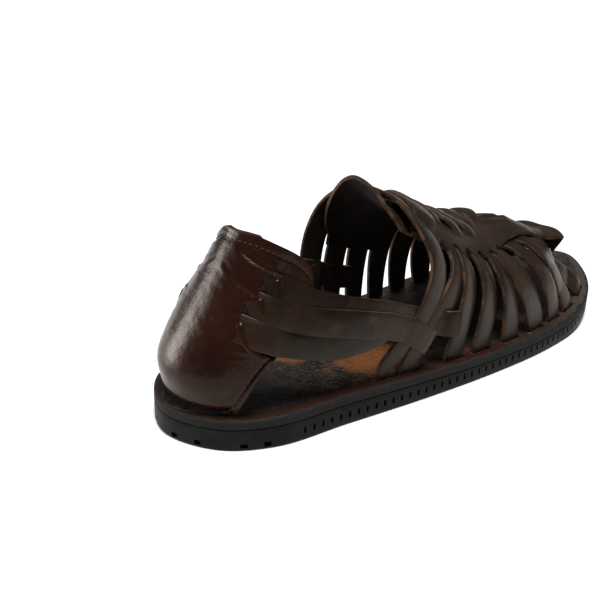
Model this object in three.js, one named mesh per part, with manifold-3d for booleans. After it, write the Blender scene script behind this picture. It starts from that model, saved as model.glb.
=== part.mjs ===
// Woven leather sandal for the right foot, in millimetres.
// +X points to the toe, -Y to the outer side, +Z up; the origin is on the floor under the middle.
import * as THREE from 'three';
import { mergeVertices } from 'three/addons/utils/BufferGeometryUtils.js';
import Module from 'manifold-3d';

// Sole
const SOLE_LENGTH = 290;
const BALL_WIDTH = 98.8;
const OUTSOLE_AT_HEEL = 10.2;
const OUTSOLE_AT_BALL = 7.4;
const OUTSOLE_AT_TOE = 8.6;
const TOE_SPRING = 7;
const INSOLE_THICKNESS = 4;
const ARCH_RISE = 3;

// Slots in the side of the rubber
const SLOT_PITCH = 5;
const SLOT_WIDTH = 1.3;
const SLOT_HEIGHT = 3.4;
const SLOT_DEPTH = 1.6;
const SLOT_ABOVE_FLOOR = 2;
const HEEL_NOTCH_WIDTH = 2.4;
const HEEL_NOTCH_HEIGHT = 2;

// Places round the sole's edge as shares of its girth, from the back over the outer side
const SLOT_ROW = { start: 0.105, end: 0.895 };
const HEEL_NOTCHES = [0.012, 0.03, 0.062, 0.078, 0.925, 0.955, 0.985];

// Leather
const LEATHER = 2.2;
const STRAP_WIDTH = 12;
const BACK_STRAP_WIDTH = 12.5;
const LEDGE = 7;
const INSTEP_HEIGHT = 103;
const SPINE_WIDTH = 36;
const COUNTER_HEIGHT = 74.5;
const COUNTER_WIDTH = 62;
const COUNTER_WING = 14;
const INNER_WING = 12;
const TONGUE_WIDTH = 50;
const TONGUE_LIFT = 11;
const INSTEP_STRAP_WIDTH = 14.5;
const PLAIT_WIDTH = 9;

// Clearances between pieces that lie on each other or pass through each other
const SEAT = 0.3;
const TONGUE_CLEARANCE = 0.7;
// Depth to which straps that touch are sunk into each other
const JOIN = 0.4;

// Outline of the sole, round from the heel: along as a share of the length, side of the ball width
const OUTLINE = [
  { along: 0.0, side: -0.035 },
  { along: 0.04, side: -0.295 },
  { along: 0.12, side: -0.425 },
  { along: 0.25, side: -0.455 },
  { along: 0.42, side: -0.49 },
  { along: 0.58, side: -0.5 },
  { along: 0.72, side: -0.477 },
  { along: 0.831, side: -0.411 },
  { along: 0.914, side: -0.28 },
  { along: 0.97, side: -0.105 },
  { along: 1.0, side: 0.088 },
  { along: 0.975, side: 0.27 },
  { along: 0.914, side: 0.388 },
  { along: 0.831, side: 0.46 },
  { along: 0.71, side: 0.5 },
  { along: 0.583, side: 0.451 },
  { along: 0.42, side: 0.341 },
  { along: 0.25, side: 0.313 },
  { along: 0.12, side: 0.33 },
  { along: 0.04, side: 0.225 },
];

// Crown of the vamp: height above the floor as a share of INSTEP_HEIGHT, side of the ball width
const CROWN = [
  { along: 0.34, height: 0.97, side: -0.02 },
  { along: 0.43, height: 0.85, side: -0.01 },
  { along: 0.5, height: 0.745, side: 0.01 },
  { along: 0.57, height: 0.645, side: 0.04 },
  { along: 0.64, height: 0.57, side: 0.06 },
  { along: 0.71, height: 0.535, side: 0.08 },
  { along: 0.78, height: 0.52, side: 0.09 },
  { along: 0.85, height: 0.475, side: 0.09 },
  { along: 0.91, height: 0.42, side: 0.08 },
  { along: 0.955, height: 0.36, side: 0.07 },
];

// Edges of the spine and toe piece: reach from the crown as shares of SPINE_WIDTH
const SPINE = [
  { along: 0.46, outer: 0.5, inner: 0.5 },
  { along: 0.6, outer: 0.58, inner: 0.5 },
  { along: 0.66, outer: 0.54, inner: 0.52 },
  { along: 0.72, outer: 0.38, inner: 0.6 },
  { along: 0.78, outer: 0.3, inner: 0.65 },
  { along: 0.86, outer: 0.31, inner: 0.68 },
  { along: 0.92, outer: 0.33, inner: 0.68 },
];

// Straps from collar to toe: slit at the spine, then middle and foot on the outer and inner side,
// as shares of the length
const LACING = [
  { name: 'A', slit: 0.415, middle: 0.515, foot: 0.335, innerMiddle: 0.345, innerFoot: 0.35, over: 1 },
  { name: 'B', slit: 0.505, middle: 0.51, foot: 0.392, innerMiddle: 0.4, innerFoot: 0.405, over: 0 },
  { name: 'C', slit: 0.541, middle: 0.56, foot: 0.494, innerMiddle: 0.47, innerFoot: 0.47, over: 0 },
  { name: 'D', slit: 0.576, middle: 0.6, foot: 0.555, innerMiddle: 0.54, innerFoot: 0.54, over: 0 },
  { name: 'E', slit: 0.608, middle: 0.655, foot: 0.624, innerMiddle: 0.605, innerFoot: 0.61, over: 0 },
  { name: 'F', slit: 0.645, middle: 0.7, foot: 0.686, innerMiddle: 0.67, innerFoot: 0.685, over: 0 },
  { name: 'G', slit: 0.68, middle: 0.745, foot: 0.748, innerMiddle: 0.735, innerFoot: 0.76, over: 0 },
  { name: 'H', slit: 0.712, middle: 0.79, foot: 0.814, innerMiddle: 0.8, innerFoot: 0.835, over: 0 },
  { name: 'I', slit: 0.745, middle: 0.86, foot: 0.905, innerMiddle: 0.865, innerFoot: 0.91, over: 0 },
];

// Instep strap in front of the tongue, from its outer end to its inner one, on the vamp
const INSTEP_STRAP = {
  outer: { along: 0.515, turn: 0.3 },
  inner: { along: 0.43, turn: 0.72 },
};

// Plaited ends on the spine: along from each strap's slit, turn round the vamp
const PLAIT = {
  middle: { along: 0.012, turn: 0.47 },
  inner: { along: -0.016, turn: 0.64 },
};

// Tongue: rear edge at its middle and how far its corners lie forward, and its front edge
const TONGUE = { rear: 0.368, corners: 0.045, front: 0.52 };

// Back straps: stations from the slit in the counter forward, rise as a share of COUNTER_HEIGHT
const BACK_STRAPS = [
  {
    name: 'upper',
    lift: 1.2,
    path: [
      { along: 0.112, rise: 0.8 },
      { along: 0.14, rise: 0.765 },
      { along: 0.23, rise: 0.585 },
      { along: 0.3, rise: 0.49 },
      { along: 0.36, rise: 0.405 },
      { along: 0.42, rise: 0.315 },
      { along: 0.49, rise: 0.25 },
    ],
  },
  {
    name: 'middle',
    lift: 2.9,
    path: [
      { along: 0.085, rise: 0.7 },
      { along: 0.113, rise: 0.665 },
      { along: 0.21, rise: 0.49 },
      { along: 0.29, rise: 0.39 },
      { along: 0.36, rise: 0.285 },
      { along: 0.4, rise: 0.21 },
      { along: 0.425, rise: 0.15 },
    ],
  },
  {
    name: 'lower',
    lift: 1.2,
    path: [
      { along: 0.066, rise: 0.595 },
      { along: 0.094, rise: 0.56 },
      { along: 0.15, rise: 0.44 },
      { along: 0.22, rise: 0.335 },
      { along: 0.29, rise: 0.28 },
      { along: 0.34, rise: 0.29 },
      { along: 0.385, rise: 0.36 },
    ],
  },
];

// Counter seen from behind and from the side, by height: lean forward as a share of its height
// and half width as a share of half COUNTER_WIDTH
const COUNTER_PROFILE = [
  { height: 0.0, lean: 0.11, width: 0.94 },
  { height: 0.1, lean: 0.065, width: 1.0 },
  { height: 0.23, lean: 0.035, width: 1.03 },
  { height: 0.36, lean: 0.095, width: 1.01 },
  { height: 0.49, lean: 0.175, width: 0.95 },
  { height: 0.62, lean: 0.265, width: 0.86 },
  { height: 0.79, lean: 0.38, width: 0.75 },
  { height: 1.0, lean: 0.52, width: 0.64 },
];

// Edges of the counter from the back to its front corner: turn is the share of the way round
const COUNTER_EDGE = [
  { turn: 0.0, low: -0.03, high: 1.0, innerHigh: 1.0 },
  { turn: 0.31, low: -0.03, high: 1.0, innerHigh: 0.955 },
  { turn: 0.46, low: -0.03, high: 0.985, innerHigh: 0.915 },
  { turn: 0.52, low: 0.15, high: 0.965, innerHigh: 0.895 },
  { turn: 0.62, low: 0.27, high: 0.94, innerHigh: 0.86 },
  { turn: 0.7, low: 0.35, high: 0.915, innerHigh: 0.835 },
  { turn: 0.78, low: 0.4, high: 0.885, innerHigh: 0.8 },
  { turn: 0.86, low: 0.47, high: 0.85, innerHigh: 0.765 },
  { turn: 0.93, low: 0.54, high: 0.8, innerHigh: 0.725 },
  { turn: 1.0, low: 0.61, high: 0.72, innerHigh: 0.68 },
];
const ROUND_PART_OF_TURN = 0.7;
const FLARE = 0.085;

const COUNTER_LEATHER = { color: 0x3c1a10, roughness: 0.35, metalness: 0 };
const STRAP_LEATHER = { color: 0x40312a, roughness: 0.5, metalness: 0 };
const TONGUE_SUEDE = { color: 0x241812, roughness: 0.8, metalness: 0 };
const FOOTBED_LEATHER = { color: 0x3d2a1e, roughness: 0.6, metalness: 0 };
const BLACK_RUBBER = { color: 0x33352f, roughness: 0.75, metalness: 0 };

const wasm = await Module();
wasm.setup();

/** Smooth value from a table at a position between its rows. */
function fromTable(table, key, position, value) {
  const last = table.length - 1;
  if (position <= table[0][key]) return table[0][value];
  if (position >= table[last][key]) return table[last][value];
  const next = table.findIndex((row) => row[key] > position);
  const low = table[next - 1];
  const high = table[next];
  const before = table[Math.max(next - 2, 0)];
  const after = table[Math.min(next + 1, last)];
  const span = high[key] - low[key];
  const t = (position - low[key]) / span;
  const slopeLow = ((high[value] - before[value]) / (high[key] - before[key])) * span;
  const slopeHigh = ((after[value] - low[value]) / (after[key] - low[key])) * span;
  const t2 = t * t;
  const t3 = t2 * t;
  return (2 * t3 - 3 * t2 + 1) * low[value] + (t3 - 2 * t2 + t) * slopeLow
    + (3 * t2 - 2 * t3) * high[value] + (t3 - t2) * slopeHigh;
}

const smooth = (t) => THREE.MathUtils.smoothstep(t, 0, 1);
const alongToX = (along) => (along - 0.5) * SOLE_LENGTH;
const xToAlong = (x) => x / SOLE_LENGTH + 0.5;

const outlineCurve = new THREE.CatmullRomCurve3(
  OUTLINE.map((row) => new THREE.Vector3(alongToX(row.along), row.side * BALL_WIDTH, 0)),
  true,
  'centripetal',
);
const OUTLINE_STEPS = 72;
const outlinePoints = outlineCurve.getSpacedPoints(OUTLINE_STEPS).slice(0, OUTLINE_STEPS);

/** Place of the sole's edge at a station: side -1 is the outer edge, +1 the inner edge. */
function edgeAt(x, side) {
  let best = 0;
  outlinePoints.forEach((point, i) => {
    const next = outlinePoints[(i + 1) % OUTLINE_STEPS];
    if ((point.x - x) * (next.x - x) > 0 || point.x === next.x) return;
    const y = point.y + ((x - point.x) / (next.x - point.x)) * (next.y - point.y);
    if (y * side > best * side) best = y;
  });
  return best;
}

const soleTable = [
  { along: 0, thickness: OUTSOLE_AT_HEEL },
  { along: 0.28, thickness: OUTSOLE_AT_HEEL },
  { along: 0.64, thickness: OUTSOLE_AT_BALL },
  { along: 1, thickness: OUTSOLE_AT_TOE },
];
const SPRING_START = 0.7;

/** Underside of the sole: flat from the heel to the ball, then rising to the toe. */
function floorLine(x) {
  const t = Math.max(0, (xToAlong(x) - SPRING_START) / (1 - SPRING_START));
  return TOE_SPRING * t * t;
}

/** Top of the rubber. */
function rubberTop(x) {
  return floorLine(x) + fromTable(soleTable, 'along', xToAlong(x), 'thickness');
}

const ARCH_PLACE = 0.42;
const ARCH_LENGTH = 0.13;

/** Top of the leather footbed, higher at the arch on the inner side. */
function footbedTop(x, y) {
  const lengthwise = Math.exp(-(((xToAlong(x) - ARCH_PLACE) / ARCH_LENGTH) ** 2));
  const inward = smooth(y / (0.34 * BALL_WIDTH));
  return rubberTop(x) + SEAT + INSOLE_THICKNESS + ARCH_RISE * lengthwise * inward;
}

/** Closed solid from a geometry, ready to be joined or cut. */
function toSolid(geometry) {
  const bare = geometry.clone();
  bare.deleteAttribute('normal');
  bare.deleteAttribute('uv');
  const merged = mergeVertices(bare, 1e-5);
  return new wasm.Manifold(new wasm.Mesh({
    numProp: 3,
    vertProperties: new Float32Array(merged.attributes.position.array),
    triVerts: new Uint32Array(merged.index.array),
  }));
}

/** Closed geometry from a grid of outer points and the matching grid of inner points. */
function shellGeometry(outer, inner) {
  const rows = outer.length;
  const columns = outer[0].length;
  const positions = [...outer.flat(), ...inner.flat()].flatMap((p) => [p.x, p.y, p.z]);
  const index = [];
  const at = (layer, row, column) => (layer * rows + row) * columns + column;
  const quad = (a, b, c, d) => index.push(a, b, c, a, c, d);
  for (let r = 0; r < rows - 1; r += 1) {
    for (let c = 0; c < columns - 1; c += 1) {
      quad(at(0, r, c), at(0, r + 1, c), at(0, r + 1, c + 1), at(0, r, c + 1));
      quad(at(1, r, c), at(1, r, c + 1), at(1, r + 1, c + 1), at(1, r + 1, c));
    }
    quad(at(0, r + 1, 0), at(0, r, 0), at(1, r, 0), at(1, r + 1, 0));
    quad(at(0, r, columns - 1), at(0, r + 1, columns - 1), at(1, r + 1, columns - 1), at(1, r, columns - 1));
  }
  for (let c = 0; c < columns - 1; c += 1) {
    quad(at(0, 0, c), at(0, 0, c + 1), at(1, 0, c + 1), at(1, 0, c));
    quad(at(0, rows - 1, c + 1), at(0, rows - 1, c), at(1, rows - 1, c), at(1, rows - 1, c + 1));
  }
  const geometry = new THREE.BufferGeometry();
  geometry.setAttribute('position', new THREE.Float32BufferAttribute(positions, 3));
  geometry.setIndex(index);
  return geometry;
}

/** Leather sheet: surface(u, v, offset) gives its points, with offset measured outwards. */
function sheet(surface, rows, columns, low, high) {
  const grid = (offset) => Array.from({ length: rows + 1 }, (_, r) => (
    Array.from({ length: columns + 1 }, (__, c) => surface(r / rows, c / columns, offset))
  ));
  const solid = toSolid(shellGeometry(grid(high), grid(low)));
  return solid.volume() > 0 ? solid : toSolid(shellGeometry(grid(low), grid(high)));
}

/** Point moved along the normal of a surface given as a function of two shares. */
function offsetFrom(surface, u, v, offset) {
  const step = 0.002;
  const point = surface(u, v);
  const alongU = surface(u + step, v).sub(surface(u - step, v));
  const alongV = surface(u, v + step).sub(surface(u, v - step));
  const normal = alongU.cross(alongV).normalize();
  return { point: point.clone().addScaledVector(normal, offset), normal };
}

const FULLNESS = 2.25;

/** Vamp of the last: turn runs from 0 at the outer foot line over the crown to 1 at the inner one. */
function vamp(along, turn) {
  const x = alongToX(along);
  const side = turn < 0.5 ? -1 : 1;
  const angle = Math.PI * turn;
  const crownSide = fromTable(CROWN, 'along', along, 'side') * BALL_WIDTH;
  const foot = edgeAt(x, side) - side * LEDGE;
  const base = footbedTop(x, foot);
  const crown = fromTable(CROWN, 'along', along, 'height') * INSTEP_HEIGHT;
  const across = Math.abs(Math.cos(angle)) ** (2 / FULLNESS);
  const up = Math.max(Math.sin(angle), 0) ** (2 / FULLNESS);
  return new THREE.Vector3(x, crownSide + (foot - crownSide) * across, base + (crown - base) * up);
}

/** Side of the vamp at a given height, as a distance from the middle plane. */
function vampSide(x, z, side) {
  const along = xToAlong(x);
  const crownSide = fromTable(CROWN, 'along', along, 'side') * BALL_WIDTH;
  const foot = edgeAt(x, side) - side * LEDGE;
  const base = footbedTop(x, foot);
  const crown = fromTable(CROWN, 'along', along, 'height') * INSTEP_HEIGHT;
  const up = THREE.MathUtils.clamp((z - base) / (crown - base), 0, 0.98);
  return crownSide + (foot - crownSide) * (1 - up ** FULLNESS) ** (1 / FULLNESS);
}

const HEEL_END = -SOLE_LENGTH / 2;
const HEEL_MIDDLE = (OUTLINE[2].side + OUTLINE[OUTLINE.length - 2].side) * 0.5 * BALL_WIDTH;
const COUNTER_FOOT = OUTSOLE_AT_HEEL + SEAT + INSOLE_THICKNESS + SEAT;

/** Plan of the counter at a height share: back end, centre of its round part and half width. */
function counterPlan(height) {
  const share = THREE.MathUtils.clamp(height, -0.2, 1);
  const width = fromTable(COUNTER_PROFILE, 'height', share, 'width') * COUNTER_WIDTH * 0.5;
  const back = HEEL_END + fromTable(COUNTER_PROFILE, 'height', share, 'lean') * COUNTER_HEIGHT;
  return { width, back, centre: back + width };
}

/** Counter surface: turn from -1 at the outer front corner to +1 at the inner one, by height share. */
function counter(turn, height) {
  const plan = counterPlan(height);
  const side = Math.sign(turn) || 1;
  const reach = Math.abs(turn);
  const z = COUNTER_FOOT + height * COUNTER_HEIGHT;
  if (reach <= ROUND_PART_OF_TURN) {
    const angle = (reach / ROUND_PART_OF_TURN) * Math.PI * 0.5;
    const x = plan.centre - plan.width * Math.cos(angle);
    return new THREE.Vector3(x, HEEL_MIDDLE + side * plan.width * Math.sin(angle), z);
  }
  const wing = side < 0 ? COUNTER_WING : INNER_WING;
  const forward = ((reach - ROUND_PART_OF_TURN) / (1 - ROUND_PART_OF_TURN)) * wing;
  return new THREE.Vector3(
    plan.centre + forward,
    HEEL_MIDDLE + side * (plan.width + FLARE * forward),
    z,
  );
}

/** Side of the counter, continued forward, at a given station and height. */
function counterSide(x, z, side) {
  const plan = counterPlan((z - COUNTER_FOOT) / COUNTER_HEIGHT);
  const ahead = x - plan.centre;
  if (ahead >= 0) return HEEL_MIDDLE + side * (plan.width + FLARE * ahead);
  const share = THREE.MathUtils.clamp(-ahead / plan.width, 0, 0.999);
  return HEEL_MIDDLE + side * plan.width * Math.sqrt(1 - share * share);
}

const BLEND_FROM = 0.2;
const BLEND_TO = 0.38;

/** Side wall of the last between counter and vamp. */
function wall(x, z, side) {
  const mix = smooth((xToAlong(x) - BLEND_FROM) / (BLEND_TO - BLEND_FROM));
  return THREE.MathUtils.lerp(counterSide(x, z, side), vampSide(x, z, side), mix);
}

/** Closed band along a route of points with normals; grow widens it for the slit it passes. */
function band(route, width, thickness, grow = 0) {
  const half = width / 2 + grow;
  const thick = thickness / 2 + grow;
  const outer = [];
  const inner = [];
  route.forEach(({ point, normal }, i) => {
    const before = route[Math.max(i - 1, 0)].point;
    const after = route[Math.min(i + 1, route.length - 1)].point;
    const across = after.clone().sub(before).cross(normal).normalize();
    const up = across.clone().cross(after.clone().sub(before)).normalize();
    const place = (side, height) => point.clone().addScaledVector(across, side).addScaledVector(up, height);
    outer.push([place(-half, thick), place(half, thick)]);
    inner.push([place(-half, -thick), place(half, -thick)]);
  });
  const solid = toSolid(shellGeometry(outer, inner));
  return solid.volume() > 0 ? solid : toSolid(shellGeometry(inner, outer));
}

const STRAP_STEPS = 10;
const UNDER_SPINE = JOIN - LEATHER / 2;
const UNDER_OVERLAP = 5;
const FOOT_DEPTH = INSOLE_THICKNESS - 1;
const SLIT_DEPTH = INSOLE_THICKNESS + ARCH_RISE + 1;
const GIRTH_PER_WIDTH = 1.25;

/** Share of the way round the vamp at a distance from the crown, negative on the outer side. */
function turnAt(along, distance) {
  const x = alongToX(along);
  const girth = (edgeAt(x, 1) - edgeAt(x, -1) - 2 * LEDGE) * GIRTH_PER_WIDTH;
  return 0.5 + distance / girth;
}

/** Place of the spine's edge at a station, moved in under the spine by a distance. */
function spineEdgeTurn(along, side, inside = 0) {
  const reach = fromTable(SPINE, 'along', along, side < 0 ? 'outer' : 'inner') * SPINE_WIDTH;
  return turnAt(along, side * (reach - inside));
}

/** Route with a point added straight below its lowest one, at a depth under the footbed's top. */
function footAdded(route, depth) {
  const { point, normal } = route[0];
  const down = point.clone();
  down.z = footbedTop(down.x, down.y) - depth;
  return [{ point: down, normal: normal.clone() }, ...route];
}

/** Route of a side strap from its foot in the sole up to the spine. */
function sideStrapRoute(strap, side) {
  const route = [];
  const foot = side < 0 ? strap.foot : strap.innerFoot;
  const middle = side < 0 ? strap.middle : strap.innerMiddle;
  const top = spineEdgeTurn(strap.slit, side, UNDER_OVERLAP);
  for (let i = 0; i <= STRAP_STEPS; i += 1) {
    const t = i / STRAP_STEPS;
    const along = foot * (1 - t) ** 2 + middle * 2 * t * (1 - t) + strap.slit * t * t;
    const lowest = side < 0 ? 0.012 : 0.988;
    const turn = THREE.MathUtils.lerp(lowest, top, t ** 0.9);
    const lift = strap.over ? LEATHER * smooth(t * 3) : UNDER_SPINE * smooth((t - 0.7) / 0.25);
    route.push(offsetFrom(vamp, along, turn, lift));
  }
  return footAdded(route, FOOT_DEPTH);
}

/** Surface of the side wall given by station and height shares, for its normals. */
const wallSurface = (side) => (along, rise) => {
  const x = alongToX(along);
  const z = COUNTER_FOOT + rise * COUNTER_HEIGHT;
  return new THREE.Vector3(x, wall(x, z, side), z);
};

/** Route of a back strap from inside the counter, out through its slit and forward to the vamp. */
function backStrapRoute(strap, side) {
  const path = new THREE.CatmullRomCurve3(
    strap.path.map((row) => new THREE.Vector3(row.along, row.rise, 0)),
    false,
    'centripetal',
  );
  const steps = 12;
  const slitShare = 0.14;
  return path.getSpacedPoints(steps).map((row, i) => {
    const out = smooth(i / steps / slitShare);
    const inside = -1.5 * LEATHER - 2 * SEAT;
    const offset = THREE.MathUtils.lerp(inside, strap.lift + LEATHER * 0.6, out);
    const surface = wallSurface(side);
    const { point, normal } = offsetFrom(surface, row.x, row.y, 0);
    if (normal.y * side < 0) normal.negate();
    return { point: point.addScaledVector(normal, offset), normal };
  });
}

const SPINE_START = 0.46;
const SPINE_END = 0.892;
const TOE_PIECE_SLANT = 0.05;

/** Spine over the instep, widening into the toe piece. */
function makeSpine() {
  const surface = (u, v, offset) => {
    const along = THREE.MathUtils.lerp(SPINE_START, SPINE_END, u);
    const outer = spineEdgeTurn(along, -1);
    const inner = spineEdgeTurn(along, 1);
    const slant = TOE_PIECE_SLANT * (1 - v) ** 2 * smooth((u - 0.75) / 0.25);
    return offsetFrom(vamp, along - slant, THREE.MathUtils.lerp(outer, inner, v), offset).point;
  };
  return sheet(surface, 15, 6, 0, LEATHER);
}

/** Wide strap across the instep in front of the tongue, from the inner side to the outer edge. */
function instepStrapRoute() {
  const steps = 9;
  return Array.from({ length: steps + 1 }, (_, i) => {
    const t = i / steps;
    const along = THREE.MathUtils.lerp(INSTEP_STRAP.outer.along, INSTEP_STRAP.inner.along, smooth(t));
    const turn = THREE.MathUtils.lerp(INSTEP_STRAP.outer.turn, INSTEP_STRAP.inner.turn, t);
    return offsetFrom(vamp, along, turn, LEATHER * 1.5 - JOIN);
  });
}

/** Plaited strap over the spine: from its middle slit across the inner half. */
function plaitRoute(strap) {
  const steps = 4;
  return Array.from({ length: steps + 1 }, (_, i) => {
    const t = i / steps;
    const along = strap.slit + THREE.MathUtils.lerp(PLAIT.middle.along, PLAIT.inner.along, t);
    const turn = THREE.MathUtils.lerp(PLAIT.middle.turn, PLAIT.inner.turn, t);
    const lift = LEATHER * 0.5 + (LEATHER - JOIN) * Math.sin(Math.PI * (0.15 + 0.7 * t));
    return offsetFrom(vamp, along, turn, lift);
  });
}

const sideStraps = [-1, 1].flatMap((side) => LACING.map((strap) => sideStrapRoute(strap, side)));
const backStraps = [-1, 1].flatMap((side) => BACK_STRAPS.map((strap) => backStrapRoute(strap, side)));
const plaits = LACING.slice(2, 7).map(plaitRoute);

/** Woven upper: side straps, back straps, spine with toe piece and instep strap in one wall. */
function makeUpper() {
  const solids = [
    makeSpine(),
    band(instepStrapRoute(), INSTEP_STRAP_WIDTH, LEATHER),
    ...sideStraps.map((route) => band(route, STRAP_WIDTH, LEATHER)),
    ...backStraps.map((route) => band(route, BACK_STRAP_WIDTH, LEATHER)),
    ...plaits.map((route) => band(route, PLAIT_WIDTH, LEATHER)),
  ];
  return solids.reduce((all, solid) => all.add(solid));
}

/** Heel counter with the slits that the back straps come through. */
function makeCounter() {
  const surface = (u, v, offset) => {
    const turn = 2 * u - 1;
    const low = fromTable(COUNTER_EDGE, 'turn', Math.abs(turn), 'low');
    const high = fromTable(COUNTER_EDGE, 'turn', Math.abs(turn), turn < 0 ? 'high' : 'innerHigh');
    const height = THREE.MathUtils.lerp(low, high, v);
    return offsetFrom(counter, turn, height, offset).point;
  };
  const below = block(() => 0, (x, y) => footbedTop(x, y) + SEAT);
  const body = sheet(surface, 36, 7, -LEATHER, 0).subtract(below);
  return backStraps.reduce(
    (left, route) => left.subtract(band(route, BACK_STRAP_WIDTH, LEATHER, SEAT)),
    body,
  );
}

/** Tongue: a saddle of suede under the instep strap, rising behind it. */
function makeTongue() {
  const surface = (u, v, offset) => {
    const edge = (2 * v - 1) ** 2;
    const along = THREE.MathUtils.lerp(TONGUE.rear + TONGUE.corners * edge, TONGUE.front, u);
    const turn = turnAt(TONGUE.front, (v - 0.5) * TONGUE_WIDTH);
    const lift = TONGUE_LIFT * (1 - u) ** 3 * (1 - edge) ** 2;
    return offsetFrom(vamp, along, turn, offset + lift).point;
  };
  const top = UNDER_SPINE - LEATHER / 2 - TONGUE_CLEARANCE;
  const body = sheet(surface, 8, 8, top - LEATHER, top);
  return [sideStraps[0], sideStraps[LACING.length]].reduce(
    (left, route) => left.subtract(band(route, STRAP_WIDTH, LEATHER, SEAT)),
    body,
  );
}

/** Prism of the sole's outline, from one height to another. */
function outlinePrism(low, high) {
  const shape = new THREE.Shape(outlinePoints.map((point) => new THREE.Vector2(point.x, point.y)));
  const geometry = new THREE.ExtrudeGeometry(shape, { depth: high - low, bevelEnabled: false });
  geometry.translate(0, 0, low);
  return toSolid(geometry);
}

/** Block between two height functions, wider and longer than the sole. */
function block(bottom, top) {
  const rows = 26;
  const columns = 8;
  const grid = (height) => Array.from({ length: rows + 1 }, (_, r) => (
    Array.from({ length: columns + 1 }, (__, c) => {
      const x = THREE.MathUtils.lerp(-0.55, 0.55, r / rows) * SOLE_LENGTH;
      const y = THREE.MathUtils.lerp(-0.6, 0.6, c / columns) * BALL_WIDTH;
      return new THREE.Vector3(x, y, height(x, y));
    })
  ));
  const solid = toSolid(shellGeometry(grid(top), grid(bottom)));
  return solid.volume() > 0 ? solid : toSolid(shellGeometry(grid(bottom), grid(top)));
}

/** Cutter for a slot in the sole's side, at a share of the way round its outline. */
function slotCutter(share, width, height, low) {
  const point = outlineCurve.getPointAt(share);
  const tangent = outlineCurve.getTangentAt(share);
  const geometry = new THREE.BoxGeometry(width, SLOT_DEPTH * 2, height);
  geometry.rotateZ(Math.atan2(tangent.y, tangent.x));
  geometry.translate(point.x, point.y, floorLine(point.x) + low + height / 2);
  return toSolid(geometry);
}

/** Rubber outsole with its row of side slots from the waist round the toe, and heel notches. */
function makeOutsole() {
  const body = outlinePrism(-1, 40).intersect(block(floorLine, rubberTop));
  const girth = outlineCurve.getLength();
  const count = Math.floor(((SLOT_ROW.end - SLOT_ROW.start) * girth) / SLOT_PITCH);
  const cutters = [];
  for (let i = 0; i <= count; i += 1) {
    const share = SLOT_ROW.start + (i * SLOT_PITCH) / girth;
    cutters.push(slotCutter(share, SLOT_WIDTH, SLOT_HEIGHT, SLOT_ABOVE_FLOOR));
  }
  HEEL_NOTCHES.forEach((share) => {
    cutters.push(slotCutter(share, HEEL_NOTCH_WIDTH, HEEL_NOTCH_HEIGHT + 1, -1));
  });
  return cutters.reduce((left, cutter) => left.subtract(cutter), body);
}

/** Leather footbed with the slits that the strap feet go down through. */
function makeInsole() {
  const lower = (x) => rubberTop(x) + SEAT;
  const body = outlinePrism(-1, 60).intersect(block(lower, footbedTop));
  return sideStraps.reduce(
    (left, route) => left.subtract(band(footAdded(route.slice(1), SLIT_DEPTH), STRAP_WIDTH, LEATHER, SEAT)),
    body,
  );
}

const sandal = new THREE.Group();

/** Adds a finished solid to the sandal as a named mesh. */
function addPiece(name, solid, finish) {
  const mesh = solid.getMesh();
  const geometry = new THREE.BufferGeometry();
  geometry.setAttribute('position', new THREE.BufferAttribute(mesh.vertProperties, 3));
  geometry.setIndex(new THREE.BufferAttribute(mesh.triVerts, 1));
  geometry.computeVertexNormals();
  const piece = new THREE.Mesh(geometry, new THREE.MeshStandardMaterial(finish));
  piece.name = name;
  sandal.add(piece);
}

addPiece('outsole', makeOutsole(), BLACK_RUBBER);
addPiece('insole', makeInsole(), FOOTBED_LEATHER);
addPiece('upper', makeUpper(), STRAP_LEATHER);
addPiece('heel_counter', makeCounter(), COUNTER_LEATHER);
addPiece('tongue', makeTongue(), TONGUE_SUEDE);

export default sandal;
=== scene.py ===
"""Woven leather sandal for the right foot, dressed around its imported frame.

Lengths in the classes are millimetres in the part's own frame: +X to the toe, -Y to the outer
side, +Z up. Meshes are made in metres.
"""

import logging
import math
from dataclasses import dataclass, field
from enum import Enum
from functools import cached_property, partial
from typing import Callable, Sequence

import bmesh
import bpy
import numpy as np
from mathutils import Matrix, Vector


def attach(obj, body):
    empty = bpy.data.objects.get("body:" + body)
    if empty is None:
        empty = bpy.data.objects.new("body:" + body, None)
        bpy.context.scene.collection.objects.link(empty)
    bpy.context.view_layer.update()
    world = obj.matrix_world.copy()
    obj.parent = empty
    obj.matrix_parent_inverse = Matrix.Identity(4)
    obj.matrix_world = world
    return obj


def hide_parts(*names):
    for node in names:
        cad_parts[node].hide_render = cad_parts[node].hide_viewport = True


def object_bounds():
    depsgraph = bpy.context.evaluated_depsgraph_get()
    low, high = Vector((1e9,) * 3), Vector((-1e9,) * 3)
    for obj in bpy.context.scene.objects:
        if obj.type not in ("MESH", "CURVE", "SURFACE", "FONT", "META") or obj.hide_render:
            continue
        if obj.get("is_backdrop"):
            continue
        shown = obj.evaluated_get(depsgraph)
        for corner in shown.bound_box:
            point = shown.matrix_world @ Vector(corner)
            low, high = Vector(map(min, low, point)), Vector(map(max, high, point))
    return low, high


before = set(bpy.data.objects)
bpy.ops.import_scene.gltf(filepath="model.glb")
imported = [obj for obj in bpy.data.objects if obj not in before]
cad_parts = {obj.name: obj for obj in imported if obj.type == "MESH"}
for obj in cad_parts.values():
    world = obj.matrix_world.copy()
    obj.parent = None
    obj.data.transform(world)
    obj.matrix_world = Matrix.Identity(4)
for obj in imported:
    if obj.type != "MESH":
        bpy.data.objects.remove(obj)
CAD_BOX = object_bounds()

LOG = logging.getLogger("sandal")
MM = 0.001
Array = np.ndarray


class Side(Enum):
    """Side of the right shoe, with the sign of its Y."""

    OUTER = -1
    INNER = 1


class Group(Enum):
    """Material slots of a leather piece."""

    FACE = 0
    CUT = 1
    FLESH = 2


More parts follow.
